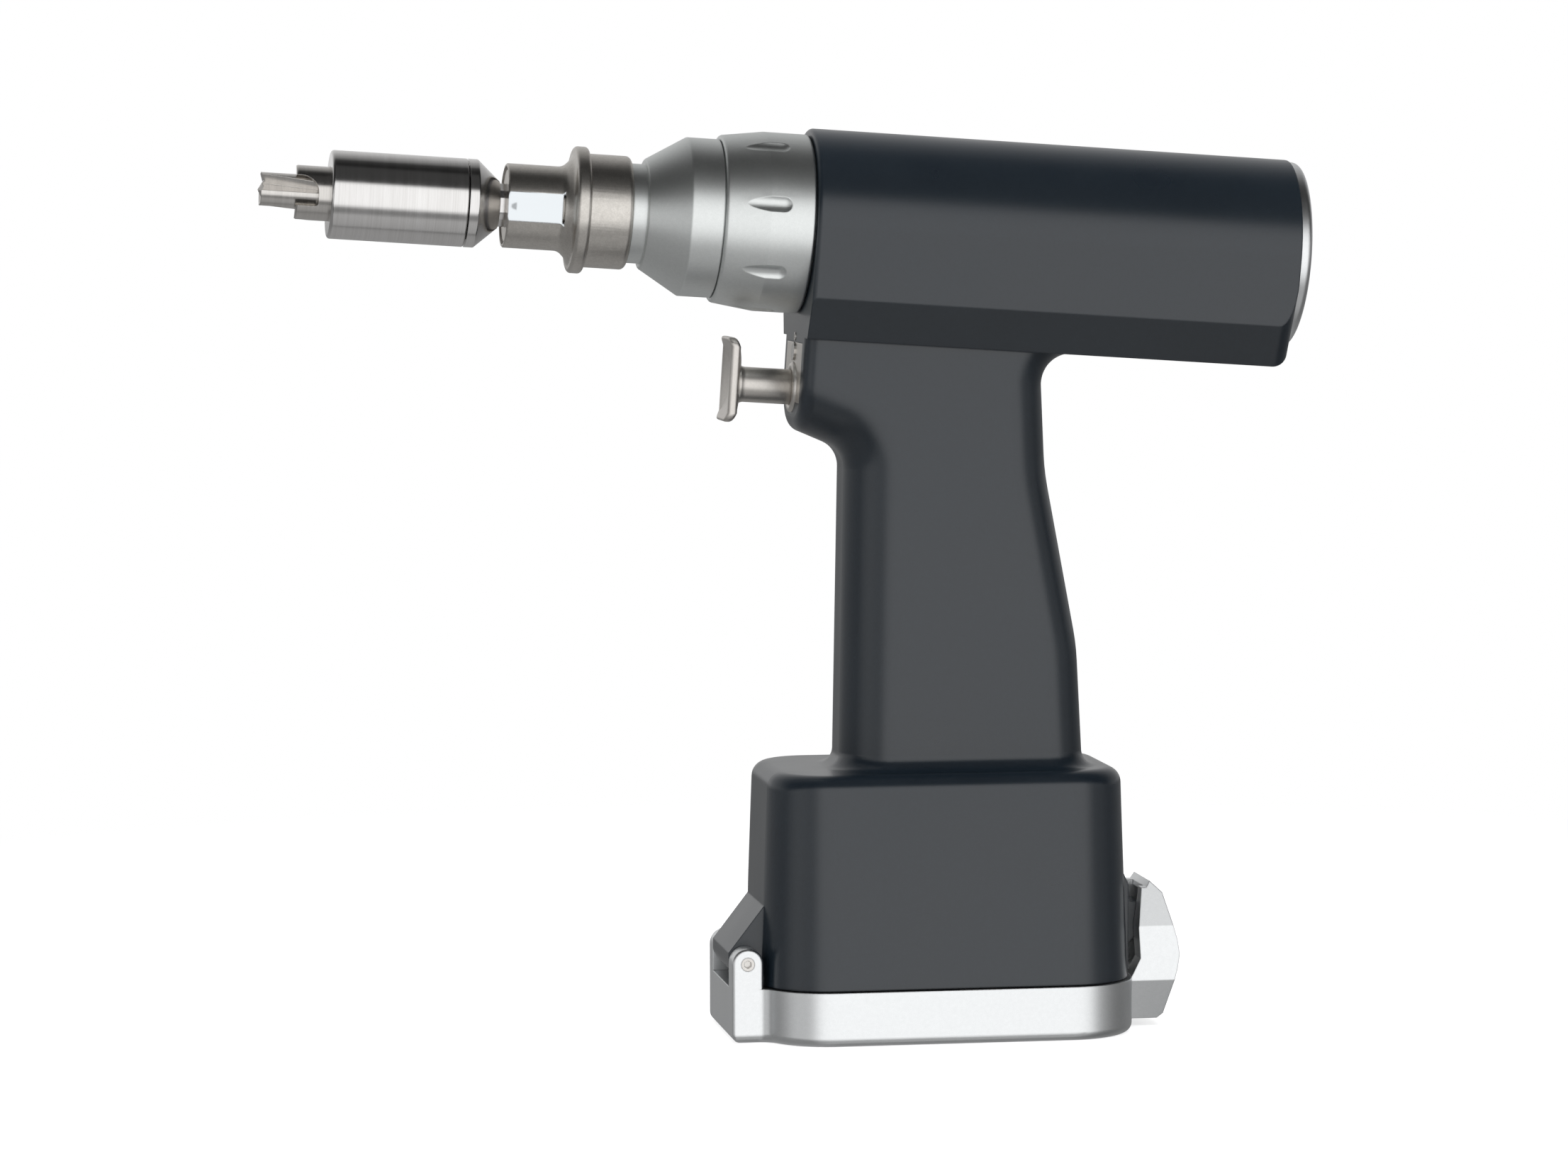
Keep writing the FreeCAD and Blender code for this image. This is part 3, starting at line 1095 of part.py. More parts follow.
def trigger_pieces():
    """Trigger: a dished finger plate on a rod that slides in a bush, with a spring behind it."""
    face = "(barrel_front - trigger_reach)"
    bush_front = "(barrel_front - 2.6)"
    bush = new_body("trigger_bush")
    sketch = new_sketch(bush, "ring", "YZ_Plane")
    bind(sketch, ".AttachmentOffset.Base.z", bush_front)
    add_circle(sketch, "0", "-trigger_drop", "trigger_rod_radius + 2 - seat_play")
    add_circle(sketch, "0", "-trigger_drop", "trigger_rod_radius + shaft_play")
    pad(bush, sketch, "9")
    tilt_with_barrel(bush)
    trigger = new_body("trigger")
    plate = new_sketch(trigger, "plate", "YZ_Plane")
    bind(plate, ".AttachmentOffset.Base.z", face)
    low, high = "-trigger_drop - trigger_height / 2", "-trigger_drop + trigger_height / 2"
    add_polygon(plate, [
        ("-trigger_half", low), ("trigger_half", low), ("trigger_half", high), ("-trigger_half", high)])
    pad(trigger, plate, "trigger_thickness + 1.4")
    corner = value("trigger_half") - 0.1
    soften(trigger, "corners", "Fillet", "trigger_half - 2",
           lambda edge: edge.BoundBox.XLength > 1 and abs(edge.BoundBox.YMin) > corner)
    dish = new_sketch(trigger, "dish", "XZ_Plane")
    hub = f"{face} - trigger_height * 1.25 + 1.1"
    add_circle(dish, hub, "-trigger_drop", "trigger_height * 1.25")
    pocket(trigger, dish, "trigger_half * 4", symmetric=True)
    front, rear = value(face), value(f"{face} + trigger_thickness + 1.4")
    soften(trigger, "rim", "Fillet", "0.8", lambda edge: edge.BoundBox.XMin > rear - 0.01)
    stem = new_sketch(trigger, "stem", "YZ_Plane")
    bind(stem, ".AttachmentOffset.Base.z", f"{face} + 2")
    add_circle(stem, "0", "-trigger_drop", "trigger_rod_radius")
    pad(trigger, stem, "trigger_reach + 5")
    tilt_with_barrel(trigger)
    magnet = new_body("trigger_magnet")
    seat = new_sketch(magnet, "disc", "YZ_Plane")
    bind(seat, ".AttachmentOffset.Base.z", "barrel_front + 7")
    add_circle(seat, "0", "-trigger_drop", "trigger_rod_radius - 1")
    pad(magnet, seat, "2.5")
    tilt_with_barrel(magnet)
    sensor = new_body("trigger_sensor")
    block = new_sketch(sensor, "block", "YZ_Plane")
    bind(block, ".AttachmentOffset.Base.z", TRIGGER_STOP)
    add_polygon(block, [
        (f"-{HOLLOW_WIDTH} / 2", "-trigger_drop - 7"), (f"{HOLLOW_WIDTH} / 2", "-trigger_drop - 7"),
        (f"{HOLLOW_WIDTH} / 2", "-trigger_drop + 7"), (f"-{HOLLOW_WIDTH} / 2", "-trigger_drop + 7")])
    pad(sensor, block, "6")
    tilt_with_barrel(sensor)
    square_spring("trigger_spring", "barrel_front + 9.6", f"{TRIGGER_STOP} - 0.1", "trigger_rod_radius - 1",
                  4, "1.1", FreeCAD.Vector(0, 0, -value("trigger_drop")))


def world_body(label, name, role, points, length):
    """A body in the drill's own frame, extruded both ways from an upright or level outline."""
    body = new_body(label)
    sketch = new_sketch(body, name, role)
    add_polygon(sketch, points)
    pad(body, sketch, length, symmetric=True)
    return body


def battery_lid():
    """Tray-like lid under the battery box, with the two hinge lugs on its front tongue."""
    body = new_body("battery_lid")
    front, inside = f"{HINGE_X} - lug_radius", "-box_length / 2 + 12"
    tray = new_sketch(body, "tray", "XY_Plane")
    add_rounded_rectangle(tray, "box_shift", "box_length / 2 + lid_overhang", "box_width / 2 + lid_overhang",
                          "box_corner + lid_overhang")
    pad(body, tray, "seam_height - part_gap")
    tongue = new_sketch(body, "tongue", "XY_Plane")
    add_polygon(tongue, [(front, "-hinge_half"), (inside, "-hinge_half"), (inside, "hinge_half"),
                         (front, "hinge_half")])
    pad(body, tongue, "seam_height - part_gap")
    inner, side = value("-box_length / 2 - 3"), value("hinge_half") + 0.01
    soften(body, "tongue_web", "Fillet", "4",
           lambda edge: edge.BoundBox.ZLength > 5 and edge.BoundBox.XMin > inner
           and edge.BoundBox.XMax < inner + 12 and abs(abs(edge.CenterOfMass.y) - side) < 0.1)
    soften(body, "foot", "Fillet", "2.4",
           lambda edge: edge.BoundBox.ZMax < 0.01)
    hollow = new_sketch(body, "hollow", "XY_Plane")
    bind(hollow, ".AttachmentOffset.Base.z", "lid_floor")
    add_rounded_rectangle(hollow, "box_shift", "box_length / 2 - lid_wall", "box_width / 2 - lid_wall",
                          "box_corner - lid_wall")
    pocket(body, hollow, "seam_height", reverse=True)
    for name, side in (("near", "-"), ("far", "")):
        ear = new_sketch(body, f"ear_{name}", "XZ_Plane")
        low = "seam_height - 4"
        rear = f"{HINGE_X} + lug_radius"
        add_polygon(ear, [(front, low), (rear, low), (rear, "hinge_height"), (front, "hinge_height")])
        bind(ear, ".AttachmentOffset.Base.z", f"{side}(hinge_half - lug_width / 2)")
        pad(body, ear, "lug_width", symmetric=True)
        crown = new_sketch(body, f"crown_{name}", "XZ_Plane")
        bind(crown, ".AttachmentOffset.Base.z", f"{side}(hinge_half - lug_width / 2)")
        add_circle(crown, HINGE_X, "hinge_height", "lug_radius")
        pad(body, crown, "lug_width", symmetric=True)
    outer = value("hinge_half")
    height = value("hinge_height")
    soften(body, "lug_edges", "Fillet", "lug_edge", lambda edge: isinstance(edge.Curve, Part.Circle)
           and abs(edge.Curve.Center.z - height) < 0.01 and abs(abs(edge.Curve.Center.y) - outer) < 0.01)
    bore = new_sketch(body, "pin_bore", "XZ_Plane")
    add_circle(bore, HINGE_X, "hinge_height", "hinge_pin")
    pocket(body, bore, "hinge_half * 4", symmetric=True)
    return body


def hinge_screws():
    """Two shoulder screws, one through each lug into the knuckle."""
    body = new_body("hinge_screws")
    body.AllowCompound = True
    length = "hinge_half - 8"
    for name, side in (("near", "-"), ("far", "")):
        shank = new_sketch(body, f"shank_{name}", "XZ_Plane")
        bind(shank, ".AttachmentOffset.Base.z", f"{side}(hinge_half - ({length}) / 2)")
        add_circle(shank, HINGE_X, "hinge_height", "hinge_pin")
        pad(body, shank, length, symmetric=True)
        socket = new_sketch(body, f"socket_{name}", "XZ_Plane")
        bind(socket, ".AttachmentOffset.Base.z", f"{side}(hinge_half)")
        add_polygon(socket, [(f"{HINGE_X} + hinge_pin * {0.58 * math.cos(turn):.4f}",
                              f"hinge_height + hinge_pin * {0.58 * math.sin(turn):.4f}")
                             for turn in (math.radians(30 + 60 * corner) for corner in range(6))])
        pocket(body, socket, "hinge_pin * 1.4", symmetric=True)
    return body


def latch_pieces():
    """Latch lever astride its boss, faceted like a chevron in side view, with its hidden cross pin."""
    wall = "(box_length / 2 + box_shift + lid_overhang + part_gap)"
    body = world_body("latch_lever", "side", "XZ_Plane", [
        (f"{wall} + 0.4", "2"), (f"{LATCH_X} + 2.8", "2"), (f"{LATCH_X} + 4.4", "3.3"),
        (f"{LATCH_X} + 7.6", "seam_height + 0.9"), (f"{LATCH_X} + 8.2", "seam_height + 4.8"),
        (f"{LATCH_X} + 7.6", "seam_height + 8.7"), (f"{LATCH_X} + 4", "latch_height + 6.6"),
        (f"{LATCH_X} + 0.8", "latch_height + 9.6"), (f"{LATCH_X} - 0.2", "latch_height + 7.9"),
        (f"{LATCH_X} - 1.5", "latch_height + 7.9"), (f"{LATCH_X} - 2.9", "latch_height - 2.4"),
        (f"{LATCH_X} - 2.4", "seam_height + 4"), (wall, "seam_height - 1")], "latch_half * 2")
    slot = new_sketch(body, "slot", "XZ_Plane")
    add_polygon(slot, [
        (f"{wall} - 3", "seam_height"), (f"{LATCH_X} + 5", "seam_height + 1.5"),
        (f"{LATCH_X} + 5.3", "latch_height - 5.5"), (f"{LATCH_X} + 4", "latch_height + 1"),
        (f"{LATCH_X} + 2", "latch_height + 5.6"), (f"{LATCH_X} - 0.2", "latch_height + 6.6"),
        (f"{LATCH_X} - 0.2", "latch_height + 12"), (f"{wall} - 3", "latch_height + 12")])
    pocket(body, slot, "(latch_boss_half + part_gap) * 2", symmetric=True)
    bevels = (("top", "latch_height + 10", "latch_height - 5"), ("foot", "1", "seam_height + 1"))
    for name, low, high in bevels:
        for side in ("-", ""):
            corner = new_sketch(body, f"{name}_{'near' if side else 'far'}", "YZ_Plane")
            outer, inner = f"{side}(latch_half + 1)", f"{side}(latch_half - 4)"
            add_polygon(corner, [(outer, low), (inner, low), (outer, high)])
            pocket(body, corner, f"{LATCH_X} * 2", reverse=True)
    bore = new_sketch(body, "pin_bore", "XZ_Plane")
    add_circle(bore, LATCH_X, "latch_height", "latch_pin")
    pocket(body, bore, "latch_pin_length + part_gap", symmetric=True)
    pin = new_body("latch_pin_rod")
    shank = new_sketch(pin, "rod", "XZ_Plane")
    add_circle(shank, LATCH_X, "latch_height", "latch_pin")
    pad(pin, shank, "latch_pin_length", symmetric=True)


def battery_pieces():
    """Battery in its well: a case, four cells, its terminals and the contact block above them."""
    floor, roof = "(lid_floor + part_gap)", "(box_top - box_wall - 6)"
    half_length, half_width = "(box_length / 2 - box_wall - 2.5)", "(box_width / 2 - box_wall - 2.5)"
    case = new_body("battery_case")
    plan = new_sketch(case, "plan", "XY_Plane")
    bind(plan, ".AttachmentOffset.Base.z", "seam_height + 1")
    add_rounded_rectangle(plan, "box_shift", half_length, half_width, "12")
    pad(case, plan, f"{roof} - seam_height - 1")
    inner = new_sketch(case, "inner", "XY_Plane")
    bind(inner, ".AttachmentOffset.Base.z", "seam_height + 1")
    add_rounded_rectangle(inner, "box_shift", f"{half_length} - 1.6", f"{half_width} - 1.6", "10.4")
    pocket(case, inner, f"{roof} - seam_height - 2.6", reverse=True)
    base = new_body("battery_base")
    sole = new_sketch(base, "sole", "XY_Plane")
    bind(sole, ".AttachmentOffset.Base.z", floor)
    add_rounded_rectangle(sole, "box_shift", f"{half_length}", f"{half_width}", "12")
    pad(base, sole, f"seam_height + 1 - {floor}")
    cells = new_body("battery_cells")
    cells.AllowCompound = True
    for number, (across, up) in enumerate(((-1, 0), (1, 0), (-1, 1), (1, 1)), start=1):
        cell = new_sketch(cells, f"cell_{number}", "YZ_Plane")
        height = f"seam_height + 1.2 + cell_radius + {up} * (cell_radius * 2 + 0.5)"
        add_circle(cell, f"{across} * (cell_radius + 0.4)", height, "cell_radius")
        pad(cells, cell, "cell_length", symmetric=True)
    block = new_body("contact_block")
    foot = new_sketch(block, "foot", "XY_Plane")
    bind(foot, ".AttachmentOffset.Base.z", f"{roof} + 1.2")
    add_rounded_rectangle(foot, "4", "13", f"{HOLLOW_WIDTH} / 2", "2")
    pad(block, foot, "10")
    pins = new_body("contact_pins")
    pins.AllowCompound = True
    for number, along in enumerate((-6, 1, 8, 15), start=1):
        pin = new_sketch(pins, f"pin_{number}", "XY_Plane")
        bind(pin, ".AttachmentOffset.Base.z", f"{roof} + 0.1")
        add_circle(pin, str(along), "0", "1.2")
        pad(pins, pin, "1.1")
    back = "2 + board_thickness"
    world_body("controller_board", "outline", "XZ_Plane", [
        ("2", "box_top + 8"), (back, "box_top + 8"), (back, "axis_height - 62"), ("2", "axis_height - 62")],
        HOLLOW_WIDTH)
    chips = new_body("board_parts")
    row = new_sketch(chips, "row", "XZ_Plane")
    low, high = "box_top + 20", "box_top + 48"
    add_polygon(row, [(back, low), ("8", low), ("8", high), (back, high)])
    pad(chips, row, "16", symmetric=True)


def write_parts():
    """Check every object and every sub-part's shape, then write the solids."""
    DOC.recompute()
    for item in DOC.Objects:
        if "Invalid" in item.State or "Error" in item.State:
            raise ValueError(f"{item.Name} failed: {item.State}")
    for item in PARTS:
        if item.Shape.isNull() or not item.Shape.isValid():
            raise ValueError(f"{item.Label} has no sound shape")
    os.makedirs("parts", exist_ok=True)
    for item in PARTS:
        item.Shape.exportStep(f"parts/{item.Label}.step")


def main_housing():
    body = new_body("main_housing")
    housing_grip(body)
    housing_box(body)
    housing_barrel(body)
    housing_ends(body)
    housing_knuckle(body)
    housing_latch_boss(body)
    housing_hollows(body)


main_housing()
rear_cap()
nose_cone()
coupling_tube()
lock_ring()
output_spindle()
spindle_bearings()
chuck_body()
chuck_balls()
chuck_sleeve()
chuck_clip()
chuck_spring()
perforator_shank()
perforator_end_cap()
perforator_body()
outer_drill()
inner_drill()
clutch_spring()
gear_train()
planet_pins()
motor_pieces()
trigger_plate()
trigger_pieces()
battery_lid()
hinge_screws()
latch_pieces()
battery_pieces()
write_parts()
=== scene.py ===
import json
import math
from itertools import product

import bmesh
import bpy
from mathutils import Matrix, Vector


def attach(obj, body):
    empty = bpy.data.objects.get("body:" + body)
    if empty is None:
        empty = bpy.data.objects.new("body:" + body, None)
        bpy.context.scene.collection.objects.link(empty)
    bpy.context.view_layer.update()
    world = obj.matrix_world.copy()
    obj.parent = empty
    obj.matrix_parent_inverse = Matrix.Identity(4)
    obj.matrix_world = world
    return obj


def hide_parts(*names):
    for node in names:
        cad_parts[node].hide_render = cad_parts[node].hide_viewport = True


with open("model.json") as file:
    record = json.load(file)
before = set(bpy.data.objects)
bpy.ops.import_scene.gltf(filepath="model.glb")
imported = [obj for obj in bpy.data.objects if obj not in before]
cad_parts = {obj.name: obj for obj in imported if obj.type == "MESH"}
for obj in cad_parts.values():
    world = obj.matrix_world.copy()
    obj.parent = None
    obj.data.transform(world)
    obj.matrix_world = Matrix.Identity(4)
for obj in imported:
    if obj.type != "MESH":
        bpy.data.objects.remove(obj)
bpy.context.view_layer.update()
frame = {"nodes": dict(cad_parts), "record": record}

# The barrel's axis leans nose-up, and every turned piece shares it
BARREL_TILT = math.radians(3.85)
AXIS_HEIGHT = 0.2095

# Rear end of the chuck sleeve's ground flat, in millimetres along the barrel's axis
FLAT_END = -98.6
# The flat's distance from the axis, and how far its cutter reaches past the sleeve, in millimetres
FLAT_DEPTH = -10.27
FLAT_CUTTER_FRONT = -114.5
FLAT_CUTTER_OUTSIDE = -14
FLAT_CUTTER_HALF = 4.6

# Camera fitted to the photograph: a long lens a little to the nose's side and a little above
CAMERA_PLACE = (-0.26770, -1.40570, 0.23318)
CAMERA_YAW = -9.2
CAMERA_RISE = 4.67
CAMERA_ROLL = -0.13
CAMERA_LENS = 125.3


def linear(red, green, blue):
    """A colour picked as 0-255 screen values, in the linear values that shaders take."""
    values = []
    for part in (red, green, blue):
        share = part / 255
        values.append(share / 12.92 if share <= 0.04045 else ((share + 0.055) / 1.055) ** 2.4)
    return (*values, 1.0)


class Tree:
    """Short calls for building one node tree."""

    def __init__(self, tree):
        self.tree = tree

    def node(self, kind, inputs=None, **settings):
        made = self.tree.nodes.new(kind)
        for name, setting in settings.items():
            setattr(made, name, setting)
        for name, given in (inputs or {}).items():
            socket = made.inputs[name]
            if isinstance(given, bpy.types.NodeSocket):
                self.tree.links.new(given, socket)
            else:
                socket.default_value = given
        return made

    def math(self, operation, first, second=0.0, third=0.0):
        made = self.node("ShaderNodeMath", {0: first, 1: second, 2: third}, operation=operation)
        return made.outputs[0]

    def vector(self, operation, first, second=(0, 0, 0)):
        made = self.node("ShaderNodeVectorMath", {0: first, 1: second}, operation=operation)
        return made.outputs["Value" if operation in ("DOT_PRODUCT", "LENGTH") else "Vector"]

    def noise(self, place, scale, detail=2.0, roughness=0.5):
        made = self.node("ShaderNodeTexNoise", {
            "Vector": place, "Scale": scale, "Detail": detail, "Roughness": roughness})
        return made.outputs["Fac"]

    def blend(self, share, first, second):
        made = self.node("ShaderNodeMix", data_type="RGBA")
        for socket, given in ((made.inputs[0], share), (made.inputs[6], first), (made.inputs[7], second)):
            if isinstance(given, bpy.types.NodeSocket):
                self.tree.links.new(given, socket)
            else:
                socket.default_value = given
        return made.outputs[2]


def new_group(name, inputs, outputs):
    """A shader node group with float or colour sockets, and its own Tree."""
    group = bpy.data.node_groups.new(name, "ShaderNodeTree")
    kinds = {"value": "NodeSocketFloat", "colour": "NodeSocketColor", "vector": "NodeSocketVector"}
    for label, kind, default in inputs:
        socket = group.interface.new_socket(label, in_out="INPUT", socket_type=kinds[kind])
        if default is not None:
            socket.default_value = default
    for label, kind in outputs:
        group.interface.new_socket(label, in_out="OUTPUT", socket_type=kinds[kind])
    tree = Tree(group)
    return group, tree, tree.node("NodeGroupInput").outputs, tree.node("NodeGroupOutput").inputs


def fine_grain_group():
    """Grain of blasted metal or textured coating: a height, and a mask for tone and roughness."""
    group, tree, given, out = new_group(
        "fine_grain", [("Size", "value", 0.0006), ("Cloud", "value", 0.03)],
        [("Height", "value"), ("Mask", "value"), ("Drift", "value")])
    place = tree.node("ShaderNodeTexCoord").outputs["Object"]
    scale = tree.math("DIVIDE", 1.0, given["Size"])
    grain = tree.noise(place, scale, 3.0, 0.6)
    specks = tree.noise(place, tree.math("MULTIPLY", scale, 0.31), 1.0)
    drift = tree.noise(place, tree.math("DIVIDE", 1.0, given["Cloud"]), 2.0)
    tree.tree.links.new(grain, out["Height"])
    tree.tree.links.new(tree.math("MULTIPLY", grain, tree.math("ADD", specks, 0.5)), out["Mask"])
    tree.tree.links.new(drift, out["Drift"])
    return group


def turning_lines_group():
    """Fine lines left by turning round the barrel's axis: they change along the axis and hold round it."""
    group, tree, given, out = new_group(
        "turning_lines", [("Line", "value", 0.0004), ("Waver", "value", 0.2)],
        [("Height", "value"), ("Bands", "value")])
    place = tree.node("ShaderNodeTexCoord").outputs["Object"]
    along = (math.cos(BARREL_TILT), 0, -math.sin(BARREL_TILT))
    length = tree.vector("DOT_PRODUCT", place, along)
    centred = tree.vector("SUBTRACT", place, (0, 0, AXIS_HEIGHT))
    offset = tree.vector("DOT_PRODUCT", centred, along)
    parts = tree.node("ShaderNodeSeparateXYZ", {0: centred}).outputs
    up = tree.math("ADD", parts["Z"], tree.math("MULTIPLY", offset, math.sin(BARREL_TILT)))
    turn = tree.math("ARCTAN2", parts["Y"], up)
    scale = tree.math("DIVIDE", 1.0, given["Line"])
    row = tree.node("ShaderNodeCombineXYZ", {
        "X": tree.math("MULTIPLY", length, scale), "Y": tree.math("MULTIPLY", turn, given["Waver"])})
    fine = tree.noise(row.outputs[0], 1.0, 3.0, 0.7)
    wide = tree.node("ShaderNodeCombineXYZ", {
        "X": tree.math("MULTIPLY", length, 420.0), "Y": tree.math("MULTIPLY", turn, 0.35)})
    bands = tree.noise(wide.outputs[0], 1.0, 4.0, 0.65)
    tree.tree.links.new(fine, out["Height"])
    tree.tree.links.new(bands, out["Bands"])
    return group


def soft_edge_group():
    """Edges broken by a small radius: a rounded normal, and a mask of where the edges are."""
    group, tree, given, out = new_group(
        "soft_edge", [("Radius", "value", 0.0004)], [("Normal", "vector"), ("Edge", "value")])
    rounded = tree.node("ShaderNodeBevel", {"Radius": given["Radius"]}, samples=4).outputs[0]
    plain = tree.node("ShaderNodeNewGeometry").outputs["Normal"]
    apart = tree.math("SUBTRACT", 1.0, tree.vector("DOT_PRODUCT", rounded, plain))
    edge = tree.node("ShaderNodeMapRange", {"Value": apart, "From Min": 0.01, "From Max": 0.14})
    tree.tree.links.new(rounded, out["Normal"])
    tree.tree.links.new(edge.outputs[0], out["Edge"])
    return group


def level_ramp(tree, place, stops):
    """Brightness along a line from 0 to 1, from (place, level) stops."""
    ramp = tree.node("ShaderNodeValToRGB", {"Fac": place})
    rows = ramp.color_ramp.elements
    for _ in range(len(stops) - 2):
        rows.new(0.5)
    for row, (spot, level) in zip(rows, stops):
        row.position = spot
        row.color = (level, level, level, 1)
    return ramp.outputs[0]


def room_tone_group():
    """How bright the studio is in a direction: a white front, a dark ceiling and dim sides."""
    group, tree, given, out = new_group("room_tone", [("Direction", "vector", None)], [("Tone", "value")])
    way = tree.node("ShaderNodeSeparateXYZ", {0: given["Direction"]}).outputs
    ahead = tree.math("MULTIPLY", way["Y"], -1.0)
    circle = 2 * math.pi
    rise = tree.math("ADD", tree.math("DIVIDE", tree.math("ARCTAN2", way["Z"], ahead), circle), 0.5)
    side = tree.math("ADD", tree.math("DIVIDE", tree.math("ARCTAN2", way["X"], ahead), circle), 0.5)
    rise_tone = level_ramp(tree, rise, [(stop / 360 + 0.5, level) for stop, level in RISE_TONES])
    side_tone = level_ramp(tree, side, [(stop / 360 + 0.5, level) for stop, level in SIDE_TONES])
    tree.tree.links.new(tree.math("MULTIPLY", rise_tone, side_tone), out["Tone"])
    return group


# Studio brightness at angles in degrees: above the level front, and to the right of it
RISE_TONES = ((-180, 0.3), (-100, 0.36), (-52, 0.46), (-43, 0.24), (-34, 0.24), (-23, 1.2), (30, 1.2),
              (38, 0.05), (102, 0.05), (112, 0.25), (140, 0.6), (180, 0.8))
SIDE_TONES = ((-180, 1.0), (-112, 0.66), (-86, 0.6), (-62, 0.6), (-32, 0.4), (-20, 1.0), (38, 1.0), (52, 0.3),
              (80, 0.3), (125, 0.6), (180, 1.0))

FINE_GRAIN = fine_grain_group()
TURNING_LINES = turning_lines_group()
SOFT_EDGE = soft_edge_group()
ROOM_TONE = room_tone_group()


def new_material(name, **plain):
    """A Principled material whose plain numbers are set on the shader's own sockets."""
    material = bpy.data.materials.new(name)
    material.use_nodes = True
    material.node_tree.nodes.clear()
    tree = Tree(material.node_tree)
    shader = tree.node("ShaderNodeBsdfPrincipled", plain)
    tree.node("ShaderNodeOutputMaterial", {"Surface": shader.outputs[0]})
    return material, tree, shader.inputs


def use_group(tree, group, **inputs):
    made = tree.node("ShaderNodeGroup", node_tree=group)
    for name, given in inputs.items():
        made.inputs[name].default_value = given
    return made.outputs


def spread(tree, mask, low, high, centre=0.5, contrast=1.0):
    """Map a mask about its centre to numbers from low to high."""
    made = tree.node("ShaderNodeMapRange", {
        "Value": mask, "From Min": centre - 0.5 / contrast, "From Max": centre + 0.5 / contrast,
        "To Min": low, "To Max": high})
    return made.outputs[0]


def bump(tree, shader, height, depth, normal):
    made = tree.node("ShaderNodeBump", {"Height": height, "Distance": depth, "Normal": normal})
    tree.tree.links.new(made.outputs[0], shader["Normal"])


def grained(name, dark, light, rough, size, depth, cloud=0.03, wear=0.25, edge=0.0004, **plain):
    """Blasted metal or textured coating in two close tones, a little lighter along worn edges."""
    material, tree, shader = new_material(name, **plain)
    grain = use_group(tree, FINE_GRAIN, Size=size, Cloud=cloud)
    corner = use_group(tree, SOFT_EDGE, Radius=edge)
    specks = tree.math("MULTIPLY", grain["Mask"], 0.6)
    tone = tree.math("ADD", specks, tree.math("MULTIPLY", grain["Drift"], 0.5))
    colour = tree.blend(spread(tree, tone, 0, 1, 0.55, 2.0), dark, light)
    worn = tree.math("MULTIPLY", tree.math("MULTIPLY", corner["Edge"], grain["Drift"]), wear)
    polished = tuple(min(1.0, part * 1.6 + 0.02) for part in light[:3]) + (1.0,)
    tree.tree.links.new(tree.blend(worn, colour, polished), shader["Base Color"])
    tree.tree.links.new(spread(tree, grain["Drift"], rough[0], rough[1], 0.5, 1.6), shader["Roughness"])
    bump(tree, shader, grain["Height"], depth, corner["Normal"])
    return material


def brushed(name, dark, light, rough, line, depth, **plain):
    """Steel turned round the barrel's axis."""
    material, tree, shader = new_material(name, Metallic=1.0, **plain)
    lines = use_group(tree, TURNING_LINES, Line=line)
    corner = use_group(tree, SOFT_EDGE, Radius=0.00025)
    fine = tree.math("MULTIPLY", lines["Height"], 0.5)
    tone = tree.math("ADD", fine, tree.math("MULTIPLY", lines["Bands"], 0.5))
    tree.tree.links.new(tree.blend(spread(tree, tone, 0, 1, 0.5, 1.8), dark, light), shader["Base Color"])
    tree.tree.links.new(spread(tree, lines["Bands"], rough[0], rough[1], 0.5, 1.8), shader["Roughness"])
    bump(tree, shader, lines["Height"], depth, corner["Normal"])
    return material


housing_coat = grained("housing_coat", linear(19, 27, 35), linear(26, 35, 43), (0.26, 0.32), 0.00042, 0.000012,
                       edge=0.0006, **{"Specular IOR Level": 0.8})
moulded_black = grained("moulded_black", linear(30, 30, 32), linear(40, 40, 42), (0.5, 0.6), 0.0008, 0.00002)
satin_aluminium = grained("satin_aluminium", linear(230, 232, 233), linear(242, 244, 245), (0.3, 0.38),
                          0.0003, 0.000006, Metallic=1.0)
nose_aluminium = grained("nose_aluminium", linear(226, 229, 228), linear(240, 243, 242), (0.38, 0.45),
                         0.0003, 0.000006, Metallic=1.0)
blasted_steel = grained("blasted_steel", linear(214, 209, 202), linear(234, 230, 223), (0.3, 0.38),
                        0.0004, 0.00001, Metallic=1.0)
turned_steel = brushed("turned_steel", linear(206, 204, 202), linear(238, 237, 236), (0.13, 0.19), 0.00016, 0.000004)
ground_steel = brushed("ground_steel", linear(196, 193, 189), linear(224, 221, 217), (0.18, 0.26), 0.0003, 0.000002)
trigger_steel = grained("trigger_steel", linear(212, 208, 202), linear(230, 226, 221), (0.36, 0.44), 0.0004,
                        0.00001, Metallic=1.0)
spring_wire = grained("spring_wire", linear(130, 130, 134), linear(160, 160, 164), (0.26, 0.34), 0.0005, 0.00001,
                      edge=0.0001, Metallic=1.0)
core_sheets = brushed("core_sheets", linear(88, 90, 96), linear(128, 130, 134), (0.4, 0.5), 0.0005, 0.00003)
magnet_plating = grained("magnet_plating", linear(84, 84, 88), linear(104, 104, 108), (0.3, 0.36), 0.0006, 0.00001,
                         Metallic=1.0)
copper_winding = brushed("copper_winding", linear(176, 98, 58), linear(214, 134, 84), (0.3, 0.4), 0.0008, 0.00015)
contact_gold = grained("contact_gold", linear(214, 176, 96), linear(228, 196, 118), (0.2, 0.26), 0.0004, 0.000006,
                       edge=0.0001, Metallic=1.0)
board_green = grained("board_green", linear(12, 74, 44), linear(20, 92, 56), (0.32, 0.4), 0.0012, 0.00002)
seal_rubber = grained("seal_rubber", linear(24, 24, 25), linear(34, 34, 35), (0.6, 0.7), 0.0007, 0.00003)
cell_sleeve = grained("cell_sleeve", linear(28, 74, 132), linear(36, 88, 150), (0.26, 0.32), 0.002, 0.00001)


